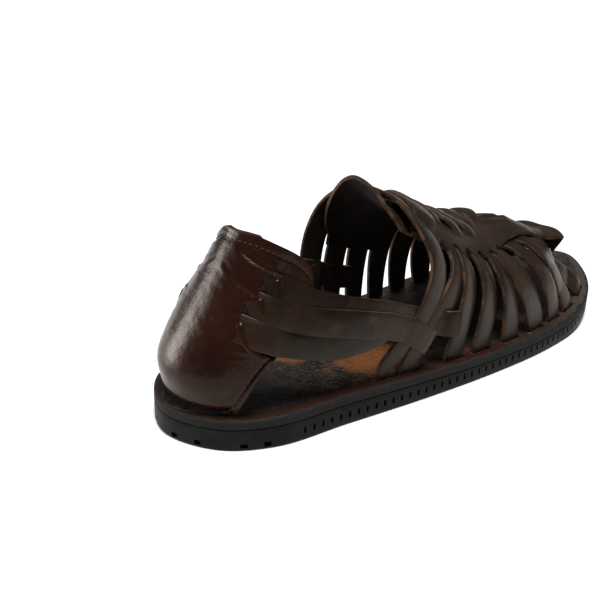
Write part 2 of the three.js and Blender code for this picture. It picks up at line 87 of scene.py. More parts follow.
def smooth(value: Array) -> Array:
    """Smooth step of a value from 0 to 1."""
    t = np.clip(value, 0.0, 1.0)
    return t * t * (3.0 - 2.0 * t)


def mix(low: Array, high: Array, share: Array) -> Array:
    """Value between two others at a share."""
    return low + (high - low) * share


def through(position: Array, *rows: tuple[float, float]) -> Array:
    """Value at a position on straight lines through a table of positions and values."""
    places, values = zip(*rows)
    return np.interp(position, places, values)


class Profile:
    """Smooth curve through a short table of positions and values."""

    def __init__(self, *rows: tuple[float, float]) -> None:
        """Samples the curve.

        Args:
            rows: pairs of position and value, in rising order of position.
        """
        xs = np.array([row[0] for row in rows], dtype=float)
        ys = np.array([row[1] for row in rows], dtype=float)
        slopes = np.empty_like(ys)
        slopes[1:-1] = (ys[2:] - ys[:-2]) / (xs[2:] - xs[:-2])
        slopes[0] = (ys[1] - ys[0]) / (xs[1] - xs[0])
        slopes[-1] = (ys[-1] - ys[-2]) / (xs[-1] - xs[-2])
        self.places = np.linspace(xs[0], xs[-1], 600)
        i = np.clip(np.searchsorted(xs, self.places, side="right") - 1, 0, len(xs) - 2)
        span = xs[i + 1] - xs[i]
        t = (self.places - xs[i]) / span
        t2, t3 = t * t, t * t * t
        self.values = (
            (2 * t3 - 3 * t2 + 1) * ys[i]
            + (t3 - 2 * t2 + t) * slopes[i] * span
            + (3 * t2 - 2 * t3) * ys[i + 1]
            + (t3 - t2) * slopes[i + 1] * span
        )

    def __call__(self, position: Array) -> Array:
        """Value at a position, constant past the ends."""
        return np.interp(position, self.places, self.values)


def spline(points: Sequence[Sequence[float]], count: int, closed: bool = False) -> Array:
    """Centripetal curve through points, evenly spaced along its length.

    Args:
        points: points in two or three dimensions.
        count: number of samples.
        closed: whether the curve returns to its start.

    Returns:
        Array of count samples.
    """
    p = np.array(points, dtype=float)
    if closed:
        p = np.vstack([p[-1], p, p[0], p[1]])
    else:
        p = np.vstack([2 * p[0] - p[1], p, 2 * p[-1] - p[-2]])
    out = []
    for p0, p1, p2, p3 in zip(p[:-3], p[1:-2], p[2:-1], p[3:]):
        t0 = 0.0
        t1 = t0 + np.linalg.norm(p1 - p0) ** 0.5
        t2 = t1 + np.linalg.norm(p2 - p1) ** 0.5
        t3 = t2 + np.linalg.norm(p3 - p2) ** 0.5
        t = np.linspace(t1, t2, 40, endpoint=False)[:, None]
        a1 = (t1 - t) / (t1 - t0) * p0 + (t - t0) / (t1 - t0) * p1
        a2 = (t2 - t) / (t2 - t1) * p1 + (t - t1) / (t2 - t1) * p2
        a3 = (t3 - t) / (t3 - t2) * p2 + (t - t2) / (t3 - t2) * p3
        b1 = (t2 - t) / (t2 - t0) * a1 + (t - t0) / (t2 - t0) * a2
        b2 = (t3 - t) / (t3 - t1) * a2 + (t - t1) / (t3 - t1) * a3
        out.append((t2 - t) / (t2 - t1) * b1 + (t - t1) / (t2 - t1) * b2)
    line = np.vstack(out + [p[-2][None]])
    steps = np.concatenate([[0.0], np.cumsum(np.linalg.norm(np.diff(line, axis=0), axis=1))])
    want = np.linspace(0.0, steps[-1], count, endpoint=not closed)
    return np.stack([np.interp(want, steps, line[:, k]) for k in range(p.shape[1])], axis=1)


def unit(vectors: Array) -> Array:
    """Vectors scaled to length one."""
    return vectors / np.maximum(np.linalg.norm(vectors, axis=-1, keepdims=True), 1e-12)


@dataclass(frozen=True)
class Last:
    """Form of the foot that the sandal is made on, and of the sole under it."""

    length: float = 290.0
    ball: float = 98.8
    heel_rubber: float = 10.2
    spring: float = 7.0
    insole: float = 4.0
    seat: float = 0.3
    arch: float = 3.0
    ledge: float = 7.0
    instep: float = 103.0
    fullness: float = 2.25
    cup_height: float = 74.5
    cup_width: float = 62.0
    outline: tuple[tuple[float, float], ...] = (
        (0.0, -0.035), (0.04, -0.295), (0.12, -0.425), (0.25, -0.455), (0.42, -0.49), (0.58, -0.5),
        (0.72, -0.477), (0.831, -0.411), (0.914, -0.28), (0.97, -0.105), (1.0, 0.088),
        (0.975, 0.27), (0.914, 0.388), (0.831, 0.46), (0.71, 0.5), (0.583, 0.451), (0.42, 0.341),
        (0.25, 0.313), (0.12, 0.33), (0.04, 0.225),
    )
    rubber: Profile = Profile((0, 10.2), (0.28, 10.2), (0.64, 7.4), (1, 8.6))
    crown_height: Profile = Profile(
        (0.34, 0.97), (0.43, 0.85), (0.5, 0.745), (0.57, 0.645), (0.64, 0.57), (0.71, 0.535),
        (0.78, 0.52), (0.85, 0.475), (0.91, 0.42), (0.955, 0.36),
    )
    crown_side: Profile = Profile(
        (0.34, -0.02), (0.43, -0.01), (0.5, 0.01), (0.57, 0.04), (0.64, 0.06), (0.71, 0.08),
        (0.78, 0.09), (0.85, 0.09), (0.91, 0.08), (0.955, 0.07),
    )
    cup_lean: Profile = Profile(
        (-0.1, 0.1), (0.0, 0.075), (0.1, 0.045), (0.23, 0.03), (0.36, 0.085), (0.49, 0.165),
        (0.62, 0.252), (0.79, 0.362), (1.0, 0.488),
    )
    cup_half: Profile = Profile(
        (-0.1, 0.9), (0.0, 0.94), (0.1, 1.0), (0.23, 1.03), (0.36, 1.01), (0.49, 0.95), (0.62, 0.86),
        (0.79, 0.75), (1.0, 0.64),
    )
    cup_middle: float = -4.69
    cup_flare: float = 0.085
    cup_round: float = 0.7
    wings: tuple[float, float] = (14.0, 12.0)
    around: float = 1.25

    def rim(self, count: int) -> Array:
        """Outline of the sole, round from the heel over the outer side."""
        points = [((a - 0.5) * self.length, s * self.ball) for a, s in self.outline]
        return spline(points, count, closed=True)

    def x(self, along: Array) -> Array:
        """Distance along the sole at a share of its length."""
        return (along - 0.5) * self.length

    def along(self, x: Array) -> Array:
        """Share of the sole's length at a distance."""
        return x / self.length + 0.5

    def edge(self, x: Array, side: Side) -> Array:
        """Y of the sole's edge at a station."""
        part = self.halves[side]
        return np.interp(x, part[:, 0], part[:, 1])

    @cached_property
    def halves(self) -> dict[Side, Array]:
        """Outer and inner half of the outline, both from the heel to the toe."""
        line = self.rim(1600)
        line = np.roll(line, -int(np.argmin(line[:, 0])), axis=0)
        toe = int(np.argmax(line[:, 0]))
        inner = np.vstack([line[toe:], line[:1]])[::-1]
        return {Side.OUTER: line[: toe + 1], Side.INNER: inner}

    def floor(self, x: Array) -> Array:
        """Underside of the rubber: flat, then rising to the toe."""
        t = np.maximum(0.0, (self.along(x) - 0.7) / 0.3)
        return self.spring * t * t

    def rubber_top(self, x: Array) -> Array:
        """Top of the rubber."""
        return self.floor(x) + self.rubber(self.along(x))

    def footbed(self, x: Array, y: Array) -> Array:
        """Top of the footbed, raised at the arch on the inner side."""
        bump = np.exp(-(((self.along(x) - 0.42) / 0.13) ** 2))
        lift = self.arch * bump * smooth(y / (0.34 * self.ball))
        return self.rubber_top(x) + self.seat + self.insole + lift

    def vamp(self, along: Array, turn: Array) -> Array:
        """Point of the vamp.

        Args:
            along: share of the length.
            turn: 0 at the outer foot line, 0.5 on the crown, 1 at the inner foot line.

        Returns:
            Points, three numbers each.
        """
        along, turn = np.broadcast_arrays(np.asarray(along, float), np.asarray(turn, float))
        x = self.x(along)
        outer = turn < 0.5
        foot = np.where(
            outer, self.edge(x, Side.OUTER) + self.ledge, self.edge(x, Side.INNER) - self.ledge
        )
        angle = np.pi * turn
        middle = self.crown_side(along) * self.ball
        base = self.footbed(x, foot)
        crown = self.crown_height(along) * self.instep
        across = np.abs(np.cos(angle)) ** (2 / self.fullness)
        up = np.maximum(np.sin(angle), 0.0) ** (2 / self.fullness)
        return np.stack([x, middle + (foot - middle) * across, base + (crown - base) * up], axis=-1)

    def vamp_offset(self, along: Array, turn: Array, offset: Array) -> tuple[Array, Array]:
        """Point moved out of the vamp, and the vamp's normal there."""
        return offset_point(self.vamp, along, turn, offset)

    def girth(self, along: Array) -> Array:
        """Length round the vamp at a station, taken from its breadth."""
        x = self.x(along)
        width = self.edge(x, Side.INNER) - self.edge(x, Side.OUTER) - 2 * self.ledge
        return width * self.around

    def cup(self, turn: Array, height: Array) -> Array:
        """Point of the heel cup.

        Args:
            turn: from -1 at the outer front corner to 1 at the inner one.
            height: share of the cup's height.

        Returns:
            Points, three numbers each.
        """
        turn, height = np.broadcast_arrays(np.asarray(turn, float), np.asarray(height, float))
        half = self.cup_half(height) * self.cup_width / 2
        back = -self.length / 2 + self.cup_lean(height) * self.cup_height
        side = np.where(turn < 0, -1.0, 1.0)
        reach = np.abs(turn)
        angle = np.minimum(reach / self.cup_round, 1.0) * np.pi / 2
        wing = np.where(turn < 0, *self.wings)
        ahead = np.maximum(reach - self.cup_round, 0.0) / (1 - self.cup_round) * wing
        x = back + half - half * np.cos(angle) + ahead
        y = self.cup_middle + side * (half * np.sin(angle) + self.cup_flare * ahead)
        z = self.cup_foot + height * self.cup_height
        return np.stack([x, y, np.broadcast_to(z, x.shape)], axis=-1)

    @property
    def cup_foot(self) -> float:
        """Height of the cup's foot over the floor."""
        return self.heel_rubber + self.insole + 2 * self.seat

    def wall(self, along: Array, rise: Array, side: Side) -> Array:
        """Point of the side wall between heel cup and vamp.

        Args:
            along: share of the length.
            rise: share of the cup's height.
            side: side of the shoe.

        Returns:
            Points, three numbers each.
        """
        along, rise = np.broadcast_arrays(np.asarray(along, float), np.asarray(rise, float))
        x = self.x(along)
        z = self.cup_foot + rise * self.cup_height
        half = self.cup_half(rise) * self.cup_width / 2
        centre = -self.length / 2 + self.cup_lean(rise) * self.cup_height + half
        ahead = x - centre
        share = np.clip(-ahead / half, 0.0, 0.999)
        cup = np.where(ahead >= 0, half + self.cup_flare * ahead, half * np.sqrt(1 - share**2))
        cup = self.cup_middle + side.value * cup
        middle = self.crown_side(along) * self.ball
        foot = self.edge(x, side) - side.value * self.ledge
        base = self.footbed(x, foot)
        crown = self.crown_height(along) * self.instep
        up = np.clip((z - base) / (crown - base), 0.0, 0.98)
        vamp = middle + (foot - middle) * (1 - up**self.fullness) ** (1 / self.fullness)
        y = mix(cup, vamp, smooth((along - 0.2) / 0.18))
        return np.stack([x, y, z], axis=-1)


def offset_point(
    surface: Callable[[Array, Array], Array], u: Array, v: Array, offset: Array
) -> tuple[Array, Array]:
    """Point moved along a surface's normal.

    Args:
        surface: surface over two shares.
        u: first share.
        v: second share.
        offset: distance along the normal.

    Returns:
        Moved points, and the normals.
    """
    step = 0.002
    du = surface(u + step, v) - surface(u - step, v)
    dv = surface(u, v + step) - surface(u, v - step)
    normal = unit(np.cross(du, dv))
    return surface(u, v) + normal * np.asarray(offset)[..., None], normal


@dataclass
class Soup:
    """Faces of one piece before they become a mesh."""

    points: list[Array] = field(default_factory=list)
    faces: list[tuple[int, ...]] = field(default_factory=list)
    groups: list[int] = field(default_factory=list)
    strip: list[Array] = field(default_factory=list)
    tone: list[Array] = field(default_factory=list)
    size: int = 0

    def add(
        self,
        points: Array,
        faces: Sequence[tuple[int, ...]],
        groups: Sequence[int],
        strip: Array,
        tone: float = 0.5,
    ) -> None:
        """Adds a closed form.

        Args:
            points: its points in millimetres.
            faces: its faces.
            groups: material slot of each face.
            strip: length and breadth coordinates of each point.
            tone: how light the leather is, from 0 to 1.
        """
        self.faces += [tuple(i + self.size for i in f) for f in faces]
        self.points.append(points)
        self.groups += list(groups)
        self.strip.append(strip)
        self.tone.append(np.full(len(points), tone))
        self.size += len(points)

    def build(self, name: str, sharp: float = 50.0) -> bpy.types.Object:
        """Turns the faces into an object.

        Args:
            name: name of the piece.
            sharp: angle in degrees above which an edge is sharp.

        Returns:
            The object at the origin.
        """
        mesh = bpy.data.meshes.new(name)
        points = np.vstack(self.points) * MM
        mesh.from_pydata(points.tolist(), [], self.faces)
        mesh.polygons.foreach_set("material_index", self.groups)
        layer = mesh.uv_layers.new(name="strip")
        loops = np.empty(len(mesh.loops), dtype=np.int32)
        mesh.loops.foreach_get("vertex_index", loops)
        layer.data.foreach_set("uv", np.vstack(self.strip)[loops].ravel())
        tone = mesh.attributes.new("tone", "FLOAT", "POINT")
        tone.data.foreach_set("value", np.concatenate(self.tone))
        return finish_mesh(name, mesh, sharp)


def finish_mesh(name: str, mesh: bpy.types.Mesh, sharp: float) -> bpy.types.Object:
    """Shades a mesh, marks its sharp edges and links its object.

    Args:
        name: name of the piece.
        mesh: mesh of the piece.
        sharp: angle in degrees above which an edge is sharp.

    Returns:
        The object.
    """
    work = bmesh.new()
    work.from_mesh(mesh)
    bmesh.ops.recalc_face_normals(work, faces=work.faces)
    if work.calc_volume(signed=True) < 0:
        bmesh.ops.reverse_faces(work, faces=work.faces)
    limit = math.radians(sharp)
    for edge in work.edges:
        edge.smooth = not edge.is_manifold or edge.calc_face_angle(0.0) < limit
    for face in work.faces:
        face.smooth = True
    work.to_mesh(mesh)
    work.free()
    item = bpy.data.objects.new(name, mesh)
    bpy.context.collection.objects.link(item)
    return item


def ring_faces(rows: int, ring: int, cap: bool = True) -> list[tuple[int, ...]]:
    """Faces of a tube of closed rings.

    Args:
        rows: number of rings.
        ring: points in a ring.
        cap: whether the ends are closed.

    Returns:
        The faces.
    """
    faces: list[tuple[int, ...]] = []
    for r in range(rows - 1):
        for c in range(ring):
            d = (c + 1) % ring
            faces.append((r * ring + c, r * ring + d, (r + 1) * ring + d, (r + 1) * ring + c))
    if cap:
        faces.append(tuple(range(ring))[::-1])
        faces.append(tuple((rows - 1) * ring + c for c in range(ring)))
    return faces


def modified(item: bpy.types.Object, sharp: float = 50.0) -> bpy.types.Object:
    """Object with its modifiers turned into plain mesh.

    Args:
        item: object with live modifiers.
        sharp: angle in degrees above which an edge is sharp.

    Returns:
        A new object of the same name, with no modifiers.
    """
    graph = bpy.context.evaluated_depsgraph_get()
    mesh = bpy.data.meshes.new_from_object(item.evaluated_get(graph), depsgraph=graph)
    name = item.name
    item.name = name + "_draft"
    bpy.data.objects.remove(item, do_unlink=True)
    return finish_mesh(name, mesh, sharp)


@dataclass(frozen=True)
class Crease:
    """Fold pressed into leather between two places of a sheet, in its own shares."""

    start: tuple[float, float]
    end: tuple[float, float]
    depth: float = 0.6
    width: float = 1.2
    lip: float = 0.5

    def at(self, u: Array, v: Array, scale: tuple[float, float]) -> Array:
        """Height of the sheet's surface near the fold.

        Args:
            u: first share.
            v: second share.
            scale: millimetres per share, along u and v.

        Returns:
            Heights in millimetres, negative in the fold.
        """
        a = np.array([self.start[0] * scale[0], self.start[1] * scale[1]])
        b = np.array([self.end[0] * scale[0], self.end[1] * scale[1]])
        p = np.stack([u * scale[0], v * scale[1]], axis=-1) - a
        line = b - a
        reach = float(np.hypot(*line))
        share = np.clip((p @ line) / reach**2, -0.2, 1.2)
        off = (p[..., 0] * line[1] - p[..., 1] * line[0]) / reach
        fade = smooth((share + 0.2) / 0.35) * smooth((1.2 - share) / 0.35)
        valley = np.exp(-((off / self.width) ** 2))
        ridge = np.exp(-(((off - 1.9 * self.width) / (1.3 * self.width)) ** 2))
        near = np.exp(-np.maximum(0.0, np.abs((p @ line) / reach**2 - 0.5) - 0.6) * 30)
        return fade * near * (self.lip * self.depth * ridge - self.depth * valley)


@dataclass(frozen=True)
class Strap:
    """Leather strap that follows a route: rounded section with raw cut sides."""

    width: float = 12.0
    thick: float = 2.2
    crown: float = 0.35
    camber: float = 0.35
    stations: int = 64

    def section(self) -> tuple[Array, list[int]]:
        """Section as breadth from -1 to 1 and height from -1 to 1, and the group of each side."""
        top = [(-1.0, 0.74), (-0.98, 0.91), (-0.93, 1.0), (-0.45, 1.0), (0.0, 1.0), (0.45, 1.0)]
        top += [(0.93, 1.0), (0.98, 0.91), (1.0, 0.74)]
        side = [(1.0, 0.1), (1.0, -0.75)]
        under = [(0.96, -1.0), (0.5, -1.0), (0.0, -1.0), (-0.5, -1.0), (-0.96, -1.0)]
        back = [(-1.0, -0.75), (-1.0, 0.1)]
        points = np.array(top + side + under + back)
        groups = [Group.FACE.value] * 8 + [Group.CUT.value] * 3 + [Group.FLESH.value] * 4
        groups += [Group.CUT.value] * 3
        return points, groups

    def sweep(
        self,
        soup: Soup,
        centre: Array,
        normal: Array,
        width: Array | float = 1.0,
        roll: Array | float = 0.0,
        tone: float = 0.5,
        skew: tuple[float, float] = (0.0, 0.0),
    ) -> None:
        """Adds the strap to a piece.

        Args:
            soup: piece that takes it.
            centre: points of the route.
            normal: outward normals along it.
            width: share of the strap's width along the route.
            roll: turn about the route in radians.
            tone: how light the leather is.
            skew: how far the ends are cut slanting, in widths, at start and end.
        """
        count = self.stations
        steps = np.concatenate(
            [[0.0], np.cumsum(np.linalg.norm(np.diff(centre, axis=0), axis=1))]
        )
        want = np.linspace(0.0, steps[-1], count)
        old = steps / steps[-1]
        share = want / steps[-1]
        centre, normal = (
            np.stack([np.interp(want, steps, line[:, k]) for k in range(3)], axis=1)
            for line in (centre, normal)
        )
        normal = unit(normal)
        breadth = np.interp(share, old, np.broadcast_to(width, old.shape)) * self.width / 2
        angle = np.interp(share, old, np.broadcast_to(roll, old.shape))
        along = unit(np.gradient(centre, axis=0))
        across = unit(np.cross(along, normal))
        up = np.cross(across, along)
        across, up = (
            across * np.cos(angle)[:, None] + up * np.sin(angle)[:, None],
            up * np.cos(angle)[:, None] - across * np.sin(angle)[:, None],
        )
        form, groups = self.section()
        slant = skew[0] * np.exp(-share * steps[-1] / 20) + skew[1] * np.exp(
            -(1 - share) * steps[-1] / 8
        )
        rounding = 1 - self.crown * 0.5 * form[:, 0] ** 2
        height = np.where(form[:, 1] > 0, form[:, 1] * rounding, form[:, 1]) * self.thick / 2
        height = height - self.camber * (form[:, 0] ** 2 - 0.3)
        points = (
            centre[:, None]
            + across[:, None] * (form[:, 0] * breadth[:, None])[..., None]
            + up[:, None] * np.broadcast_to(height, (count, len(form)))[..., None]
            + along[:, None] * (form[:, 0] * (slant * self.width)[:, None])[..., None]
        )
        strip = np.stack(
            [np.broadcast_to(want[:, None], points.shape[:2]), form[:, 0] * breadth[:, None]],
            axis=-1,
        )
        faces = ring_faces(count, len(form))
        kinds = groups * (count - 1) + [Group.CUT.value] * 2
        soup.add(points.reshape(-1, 3), faces, kinds, strip.reshape(-1, 2), tone)


@dataclass(frozen=True)
class Sheet:
    """Flat piece of leather laid on a surface, with raw cut edges."""

    rows: int
    columns: int
    thick: float = 2.2
    bevel: float = 0.45

    def lay(
        self,
        name: str,
        surface: Callable[[Array, Array, float], Array],
        size: tuple[float, float],
        tone: float = 0.5,
    ) -> bpy.types.Object:
        """Builds the sheet as a solid with rounded rims.

        Args:
            name: name of the piece.
            surface: points over two shares, at a depth below the outer face.
            size: length and breadth in millimetres, for the grain.
            tone: how light the leather is.

        Returns:
            The object with a live bevel.
        """
        u, v = np.meshgrid(
            np.linspace(0, 1, self.rows), np.linspace(0, 1, self.columns), indexing="ij"
        )
        flat = [surface(u, v, depth).reshape(-1, 3) for depth in (0.0, self.thick)]
        n, far = self.columns, self.rows * self.columns
        faces = [
            (r * n + c, (r + 1) * n + c, (r + 1) * n + c + 1, r * n + c + 1)
            for r in range(self.rows - 1)
            for c in range(n - 1)
        ]
        faces += [tuple(i + far for i in f[::-1]) for f in faces]
        kinds = [Group.FACE.value] * (len(faces) // 2) + [Group.FLESH.value] * (len(faces) // 2)
        rim = list(range(n))
        rim += [r * n + n - 1 for r in range(1, self.rows)]
        rim += [far - 1 - c for c in range(1, n)]
        rim += [r * n for r in range(self.rows - 2, 0, -1)]
        faces += [(a, b, b + far, a + far) for a, b in zip(rim, rim[1:] + rim[:1])]
        kinds += [Group.CUT.value] * len(rim)
        strip = np.stack([u.ravel() * size[0], v.ravel() * size[1]], axis=-1)
        soup = Soup()
        soup.add(np.vstack(flat), faces, kinds, np.vstack([strip, strip]), tone)
        item = soup.build(name)
        round_off = item.modifiers.new("rounding", "BEVEL")
        round_off.width = self.bevel * MM
        round_off.segments = 2
        round_off.limit_method = "ANGLE"
        round_off.angle_limit = math.radians(60)
        round_off.use_clamp_overlap = True
        return item


class Num:
    """Number socket of a shader tree that can be used in expressions."""

    def __init__(self, shader: "Shader", socket: bpy.types.NodeSocket) -> None:
        """Wraps a socket.

        Args:
            shader: tree that takes the new nodes.
            socket: output socket with a number.
        """
        self.shader = shader
        self.socket = socket

    def _math(self, operation: str, *values: "Num | float", clamp: bool = False) -> "Num":
        """Adds a Math node."""
        settings = {"operation": operation, "use_clamp": clamp}
        return self.shader.num("ShaderNodeMath", settings, dict(enumerate(values)))

    def __add__(self, other: "Num | float") -> "Num":
        """Sum."""
        return self._math("ADD", self, other)

    __radd__ = __add__

    def __mul__(self, other: "Num | float") -> "Num":
        """Product."""
        return self._math("MULTIPLY", self, other)

    __rmul__ = __mul__

    def __sub__(self, other: "Num | float") -> "Num":
        """Difference."""
        return self._math("SUBTRACT", self, other)

    def __rsub__(self, other: float) -> "Num":
        """Difference from a plain number."""
        return self._math("SUBTRACT", other, self)

    def __pow__(self, other: float) -> "Num":
        """Power of the value, taken as positive."""
        return self._math("POWER", self._math("ABSOLUTE", self), other)

    def clamp(self) -> "Num":
        """Value kept between 0 and 1."""
        return self._math("ADD", self, 0.0, clamp=True)

    def ramp(self, low: float, high: float) -> "Num":
        """Smooth step between two values."""
        settings = {"interpolation_type": "SMOOTHSTEP", "clamp": True}
        return self.shader.num(
            "ShaderNodeMapRange", settings, {"Value": self, "From Min": low, "From Max": high}
        )


class Shader:
    """Node tree of one material."""

    def __init__(self, name: str) -> None:
        """Starts a material with its shader and output.

        Args:
            name: name of the material.
        """
        self.material = bpy.data.materials.new(name)
        self.material.use_nodes = True
        self.tree = self.material.node_tree
        self.tree.nodes.clear()
        self.bsdf = self.tree.nodes.new("ShaderNodeBsdfPrincipled")
        output = self.tree.nodes.new("ShaderNodeOutputMaterial")
        self.tree.links.new(self.bsdf.outputs[0], output.inputs[0])

    def node(
        self, kind: str, settings: dict[str, object], sockets: dict[object, object]
    ) -> bpy.types.Node:
        """Adds a node.

        Args:
            kind: type of the node.
            settings: attributes, set first; the key stops gives a ramp's colours.
            sockets: values or links of its inputs, by name or number.

        Returns:
            The node.
        """
        made = self.tree.nodes.new(kind)
        for key, value in settings.items():
            if key == "stops":
                ramp = made.color_ramp
                while len(ramp.elements) < len(value):
                    ramp.elements.new(0.5)
                for element, (place, colour) in zip(ramp.elements, value):
                    element.position = place
                    element.color = (*colour, 1.0)
            else:
                setattr(made, key, value)
        for key, value in sockets.items():
            source = value.socket if isinstance(value, Num) else value
            if isinstance(source, bpy.types.NodeSocket):
                self.tree.links.new(source, made.inputs[key])
            else:
                made.inputs[key].default_value = source
        return made

    def num(self, kind: str, settings: dict[str, object], sockets: dict[object, object]) -> Num:
        """Adds a node and takes its first output as a number."""
        return Num(self, self.node(kind, settings, sockets).outputs[0])

    def place(self, scale: Sequence[float] = (1.0, 1.0, 1.0)) -> bpy.types.NodeSocket:
        """Object coordinates in millimetres, scaled."""
        coordinates = self.node("ShaderNodeTexCoord", {}, {})
        big = tuple(1000.0 * s for s in scale)
        mapping = self.node(
            "ShaderNodeMapping", {}, {"Vector": coordinates.outputs["Object"], "Scale": big}
        )
        return mapping.outputs[0]

    def strip(self, scale: Sequence[float] = (1.0, 1.0, 1.0)) -> bpy.types.NodeSocket:
        """Millimetres along and across a strip of leather, scaled."""
        layer = self.node("ShaderNodeUVMap", {"uv_map": "strip"}, {})
        mapping = self.node("ShaderNodeMapping", {}, {"Vector": layer.outputs[0], "Scale": scale})
        return mapping.outputs[0]

    def noise(
        self, size: float, detail: float = 3.0, rough: float = 0.55, on: object = None
    ) -> Num:
        """Noise with features of a size in millimetres, about 0.5."""
        vector = self.place() if on is None else on
        return self.num(
            "ShaderNodeTexNoise",
            {},
            {"Vector": vector, "Scale": 1.0 / size, "Detail": detail, "Roughness": rough},
        )

    def cells(self, size: float, on: object = None, feature: str = "F1") -> Num:
        """Distance to the middle of cells of a size in millimetres."""
        vector = self.place() if on is None else on
        return self.num(
            "ShaderNodeTexVoronoi", {"feature": feature}, {"Vector": vector, "Scale": 1.0 / size}
        )

    def attribute(self, name: str) -> Num:
        """Number stored on the piece's points."""
        made = self.node("ShaderNodeAttribute", {"attribute_name": name}, {})
        return Num(self, made.outputs["Fac"])

    def blend(self, share: Num | float, low: object, high: object) -> bpy.types.NodeSocket:
        """Colour between two others."""
        colours = [(*c, 1.0) if isinstance(c, tuple) else c for c in (low, high)]
        made = self.node(
            "ShaderNodeMix",
            {"data_type": "RGBA", "clamp_factor": True},
            {0: share, 6: colours[0], 7: colours[1]},
        )
        return made.outputs[2]

    def bump(self, height: Num, depth: float, before: object = None) -> bpy.types.NodeSocket:
        """Normal bent by a height, with its depth in millimetres."""
        sockets = {"Height": height, "Distance": depth * MM, "Strength": 1.0}
        if before is not None:
            sockets["Normal"] = before
        return self.node("ShaderNodeBump", {}, sockets).outputs[0]

    def finish(
        self, colour: object, rough: object, normal: object, fixed: dict[str, object]
    ) -> bpy.types.Material:
        """Connects the shader.

        Args:
            colour: base colour.
            rough: roughness.
            normal: normal, or None.
            fixed: plain values of other sockets.

        Returns:
            The material.
        """
        links = {"Base Color": colour, "Roughness": rough}
        if normal is not None:
            links["Normal"] = normal
        for key, value in links.items():
            source = value.socket if isinstance(value, Num) else value
            if isinstance(source, bpy.types.NodeSocket):
                self.tree.links.new(source, self.bsdf.inputs[key])
            else:
                self.bsdf.inputs[key].default_value = source
        for key, value in fixed.items():
            self.bsdf.inputs[key].default_value = value
        return self.material


@dataclass(frozen=True)
class OiledLeather:
    """Full-grain leather, dyed through, with fine grain and soft wear."""

    name: str
    deep: tuple[float, float, float]
    lit: tuple[float, float, float]
    worn: tuple[float, float, float]
    rough: float = 0.37
    grain: float = 0.9
    depth: float = 0.06
    shine: float = 0.22
    folds: tuple[float, float] = (0.3, 0.12)
    creased: float = 1.6

    def make(self) -> bpy.types.Material:
        """Builds the material."""
        s = Shader(self.name)
        cloud = s.noise(26.0, 3.0)
        mottle = s.noise(4.5, 4.0, 0.6)
        tone = s.attribute("tone")
        share = (cloud.ramp(0.32, 0.7) * 0.6 + tone * 0.5 + mottle * 0.25 - 0.2).clamp()
        colour = s.blend(share, self.deep, self.lit)
        rub = s.noise(9.0, 6.0, 0.7).ramp(0.56, 0.76) * 0.45
        colour = s.blend(rub, colour, self.worn)
        pores = s.cells(self.grain)
        folds = s.noise(1.0, 4.0, 0.65, s.strip((*self.folds, 1.0)))
        fine = s.noise(0.45, 2.0)
        rough = self.rough + 0.2 * (mottle - 0.5) + 0.16 * rub - 0.06 * (pores - 0.4)
        normal = s.bump(pores + fine * 0.5, self.depth)
        normal = s.bump(folds, self.depth * self.creased, normal)
        normal = s.bump(s.noise(11.0, 2.0), 0.5, normal)
        fixed = {
            "Specular IOR Level": self.shine,
            "Specular Tint": (1.0, 0.86, 0.7, 1.0),
        }
        return s.finish(colour, rough, normal, fixed)


@dataclass(frozen=True)
class CutEdge:
    """Raw cut side of leather, fibrous and lighter than its face."""

    name: str
    fibre: tuple[float, float, float]
    dye: tuple[float, float, float]
    dyed: float = 0.65

    def make(self) -> bpy.types.Material:
        """Builds the material."""
        s = Shader(self.name)
        strands = s.noise(0.5, 4.0, 0.7)
        patches = s.noise(7.0, 3.0, 0.6)
        share = (patches.ramp(0.36, 0.66) * 0.75 + strands * 0.6 - 0.55 + self.dyed).clamp()
        colour = s.blend(share, self.fibre, self.dye)
        colour = s.blend(s.noise(0.35, 2.0).ramp(0.5, 0.7) * 0.35, colour, self.fibre)
        return s.finish(colour, 0.78, s.bump(strands, 0.35), {"Specular IOR Level": 0.25})


@dataclass(frozen=True)
class FleshSide:
    """Rough inner side of the straps, nearly black with a few orange-brown clouds."""

    name: str

    def make(self) -> bpy.types.Material:
        """Builds the material."""
        s = Shader(self.name)
        nap = s.noise(0.8, 4.0, 0.7)
        cloud = s.noise(9.0, 3.0, 0.6)
        share = ((cloud - 0.5) * 1.2).clamp()
        colour = s.blend(share, (0.008, 0.005, 0.004), (0.09, 0.034, 0.011))
        return s.finish(colour, 0.85, s.bump(nap, 0.2), {"Specular IOR Level": 0.2})


@dataclass(frozen=True)
class Suede:
    """Napped flesh side of the tongue."""

    name: str = "tongue_suede"

    def make(self) -> bpy.types.Material:
        """Builds the material."""
        s = Shader(self.name)
        cloud = s.noise(12.0, 4.0)
        colour = s.blend(cloud.ramp(0.35, 0.7), (0.004, 0.003, 0.0025), (0.011, 0.008, 0.006))
        nap = s.bump(s.noise(0.7, 4.0, 0.7), 0.25)
        return s.finish(colour, 0.92, nap, {"Sheen Weight": 0.04, "Specular IOR Level": 0.08})


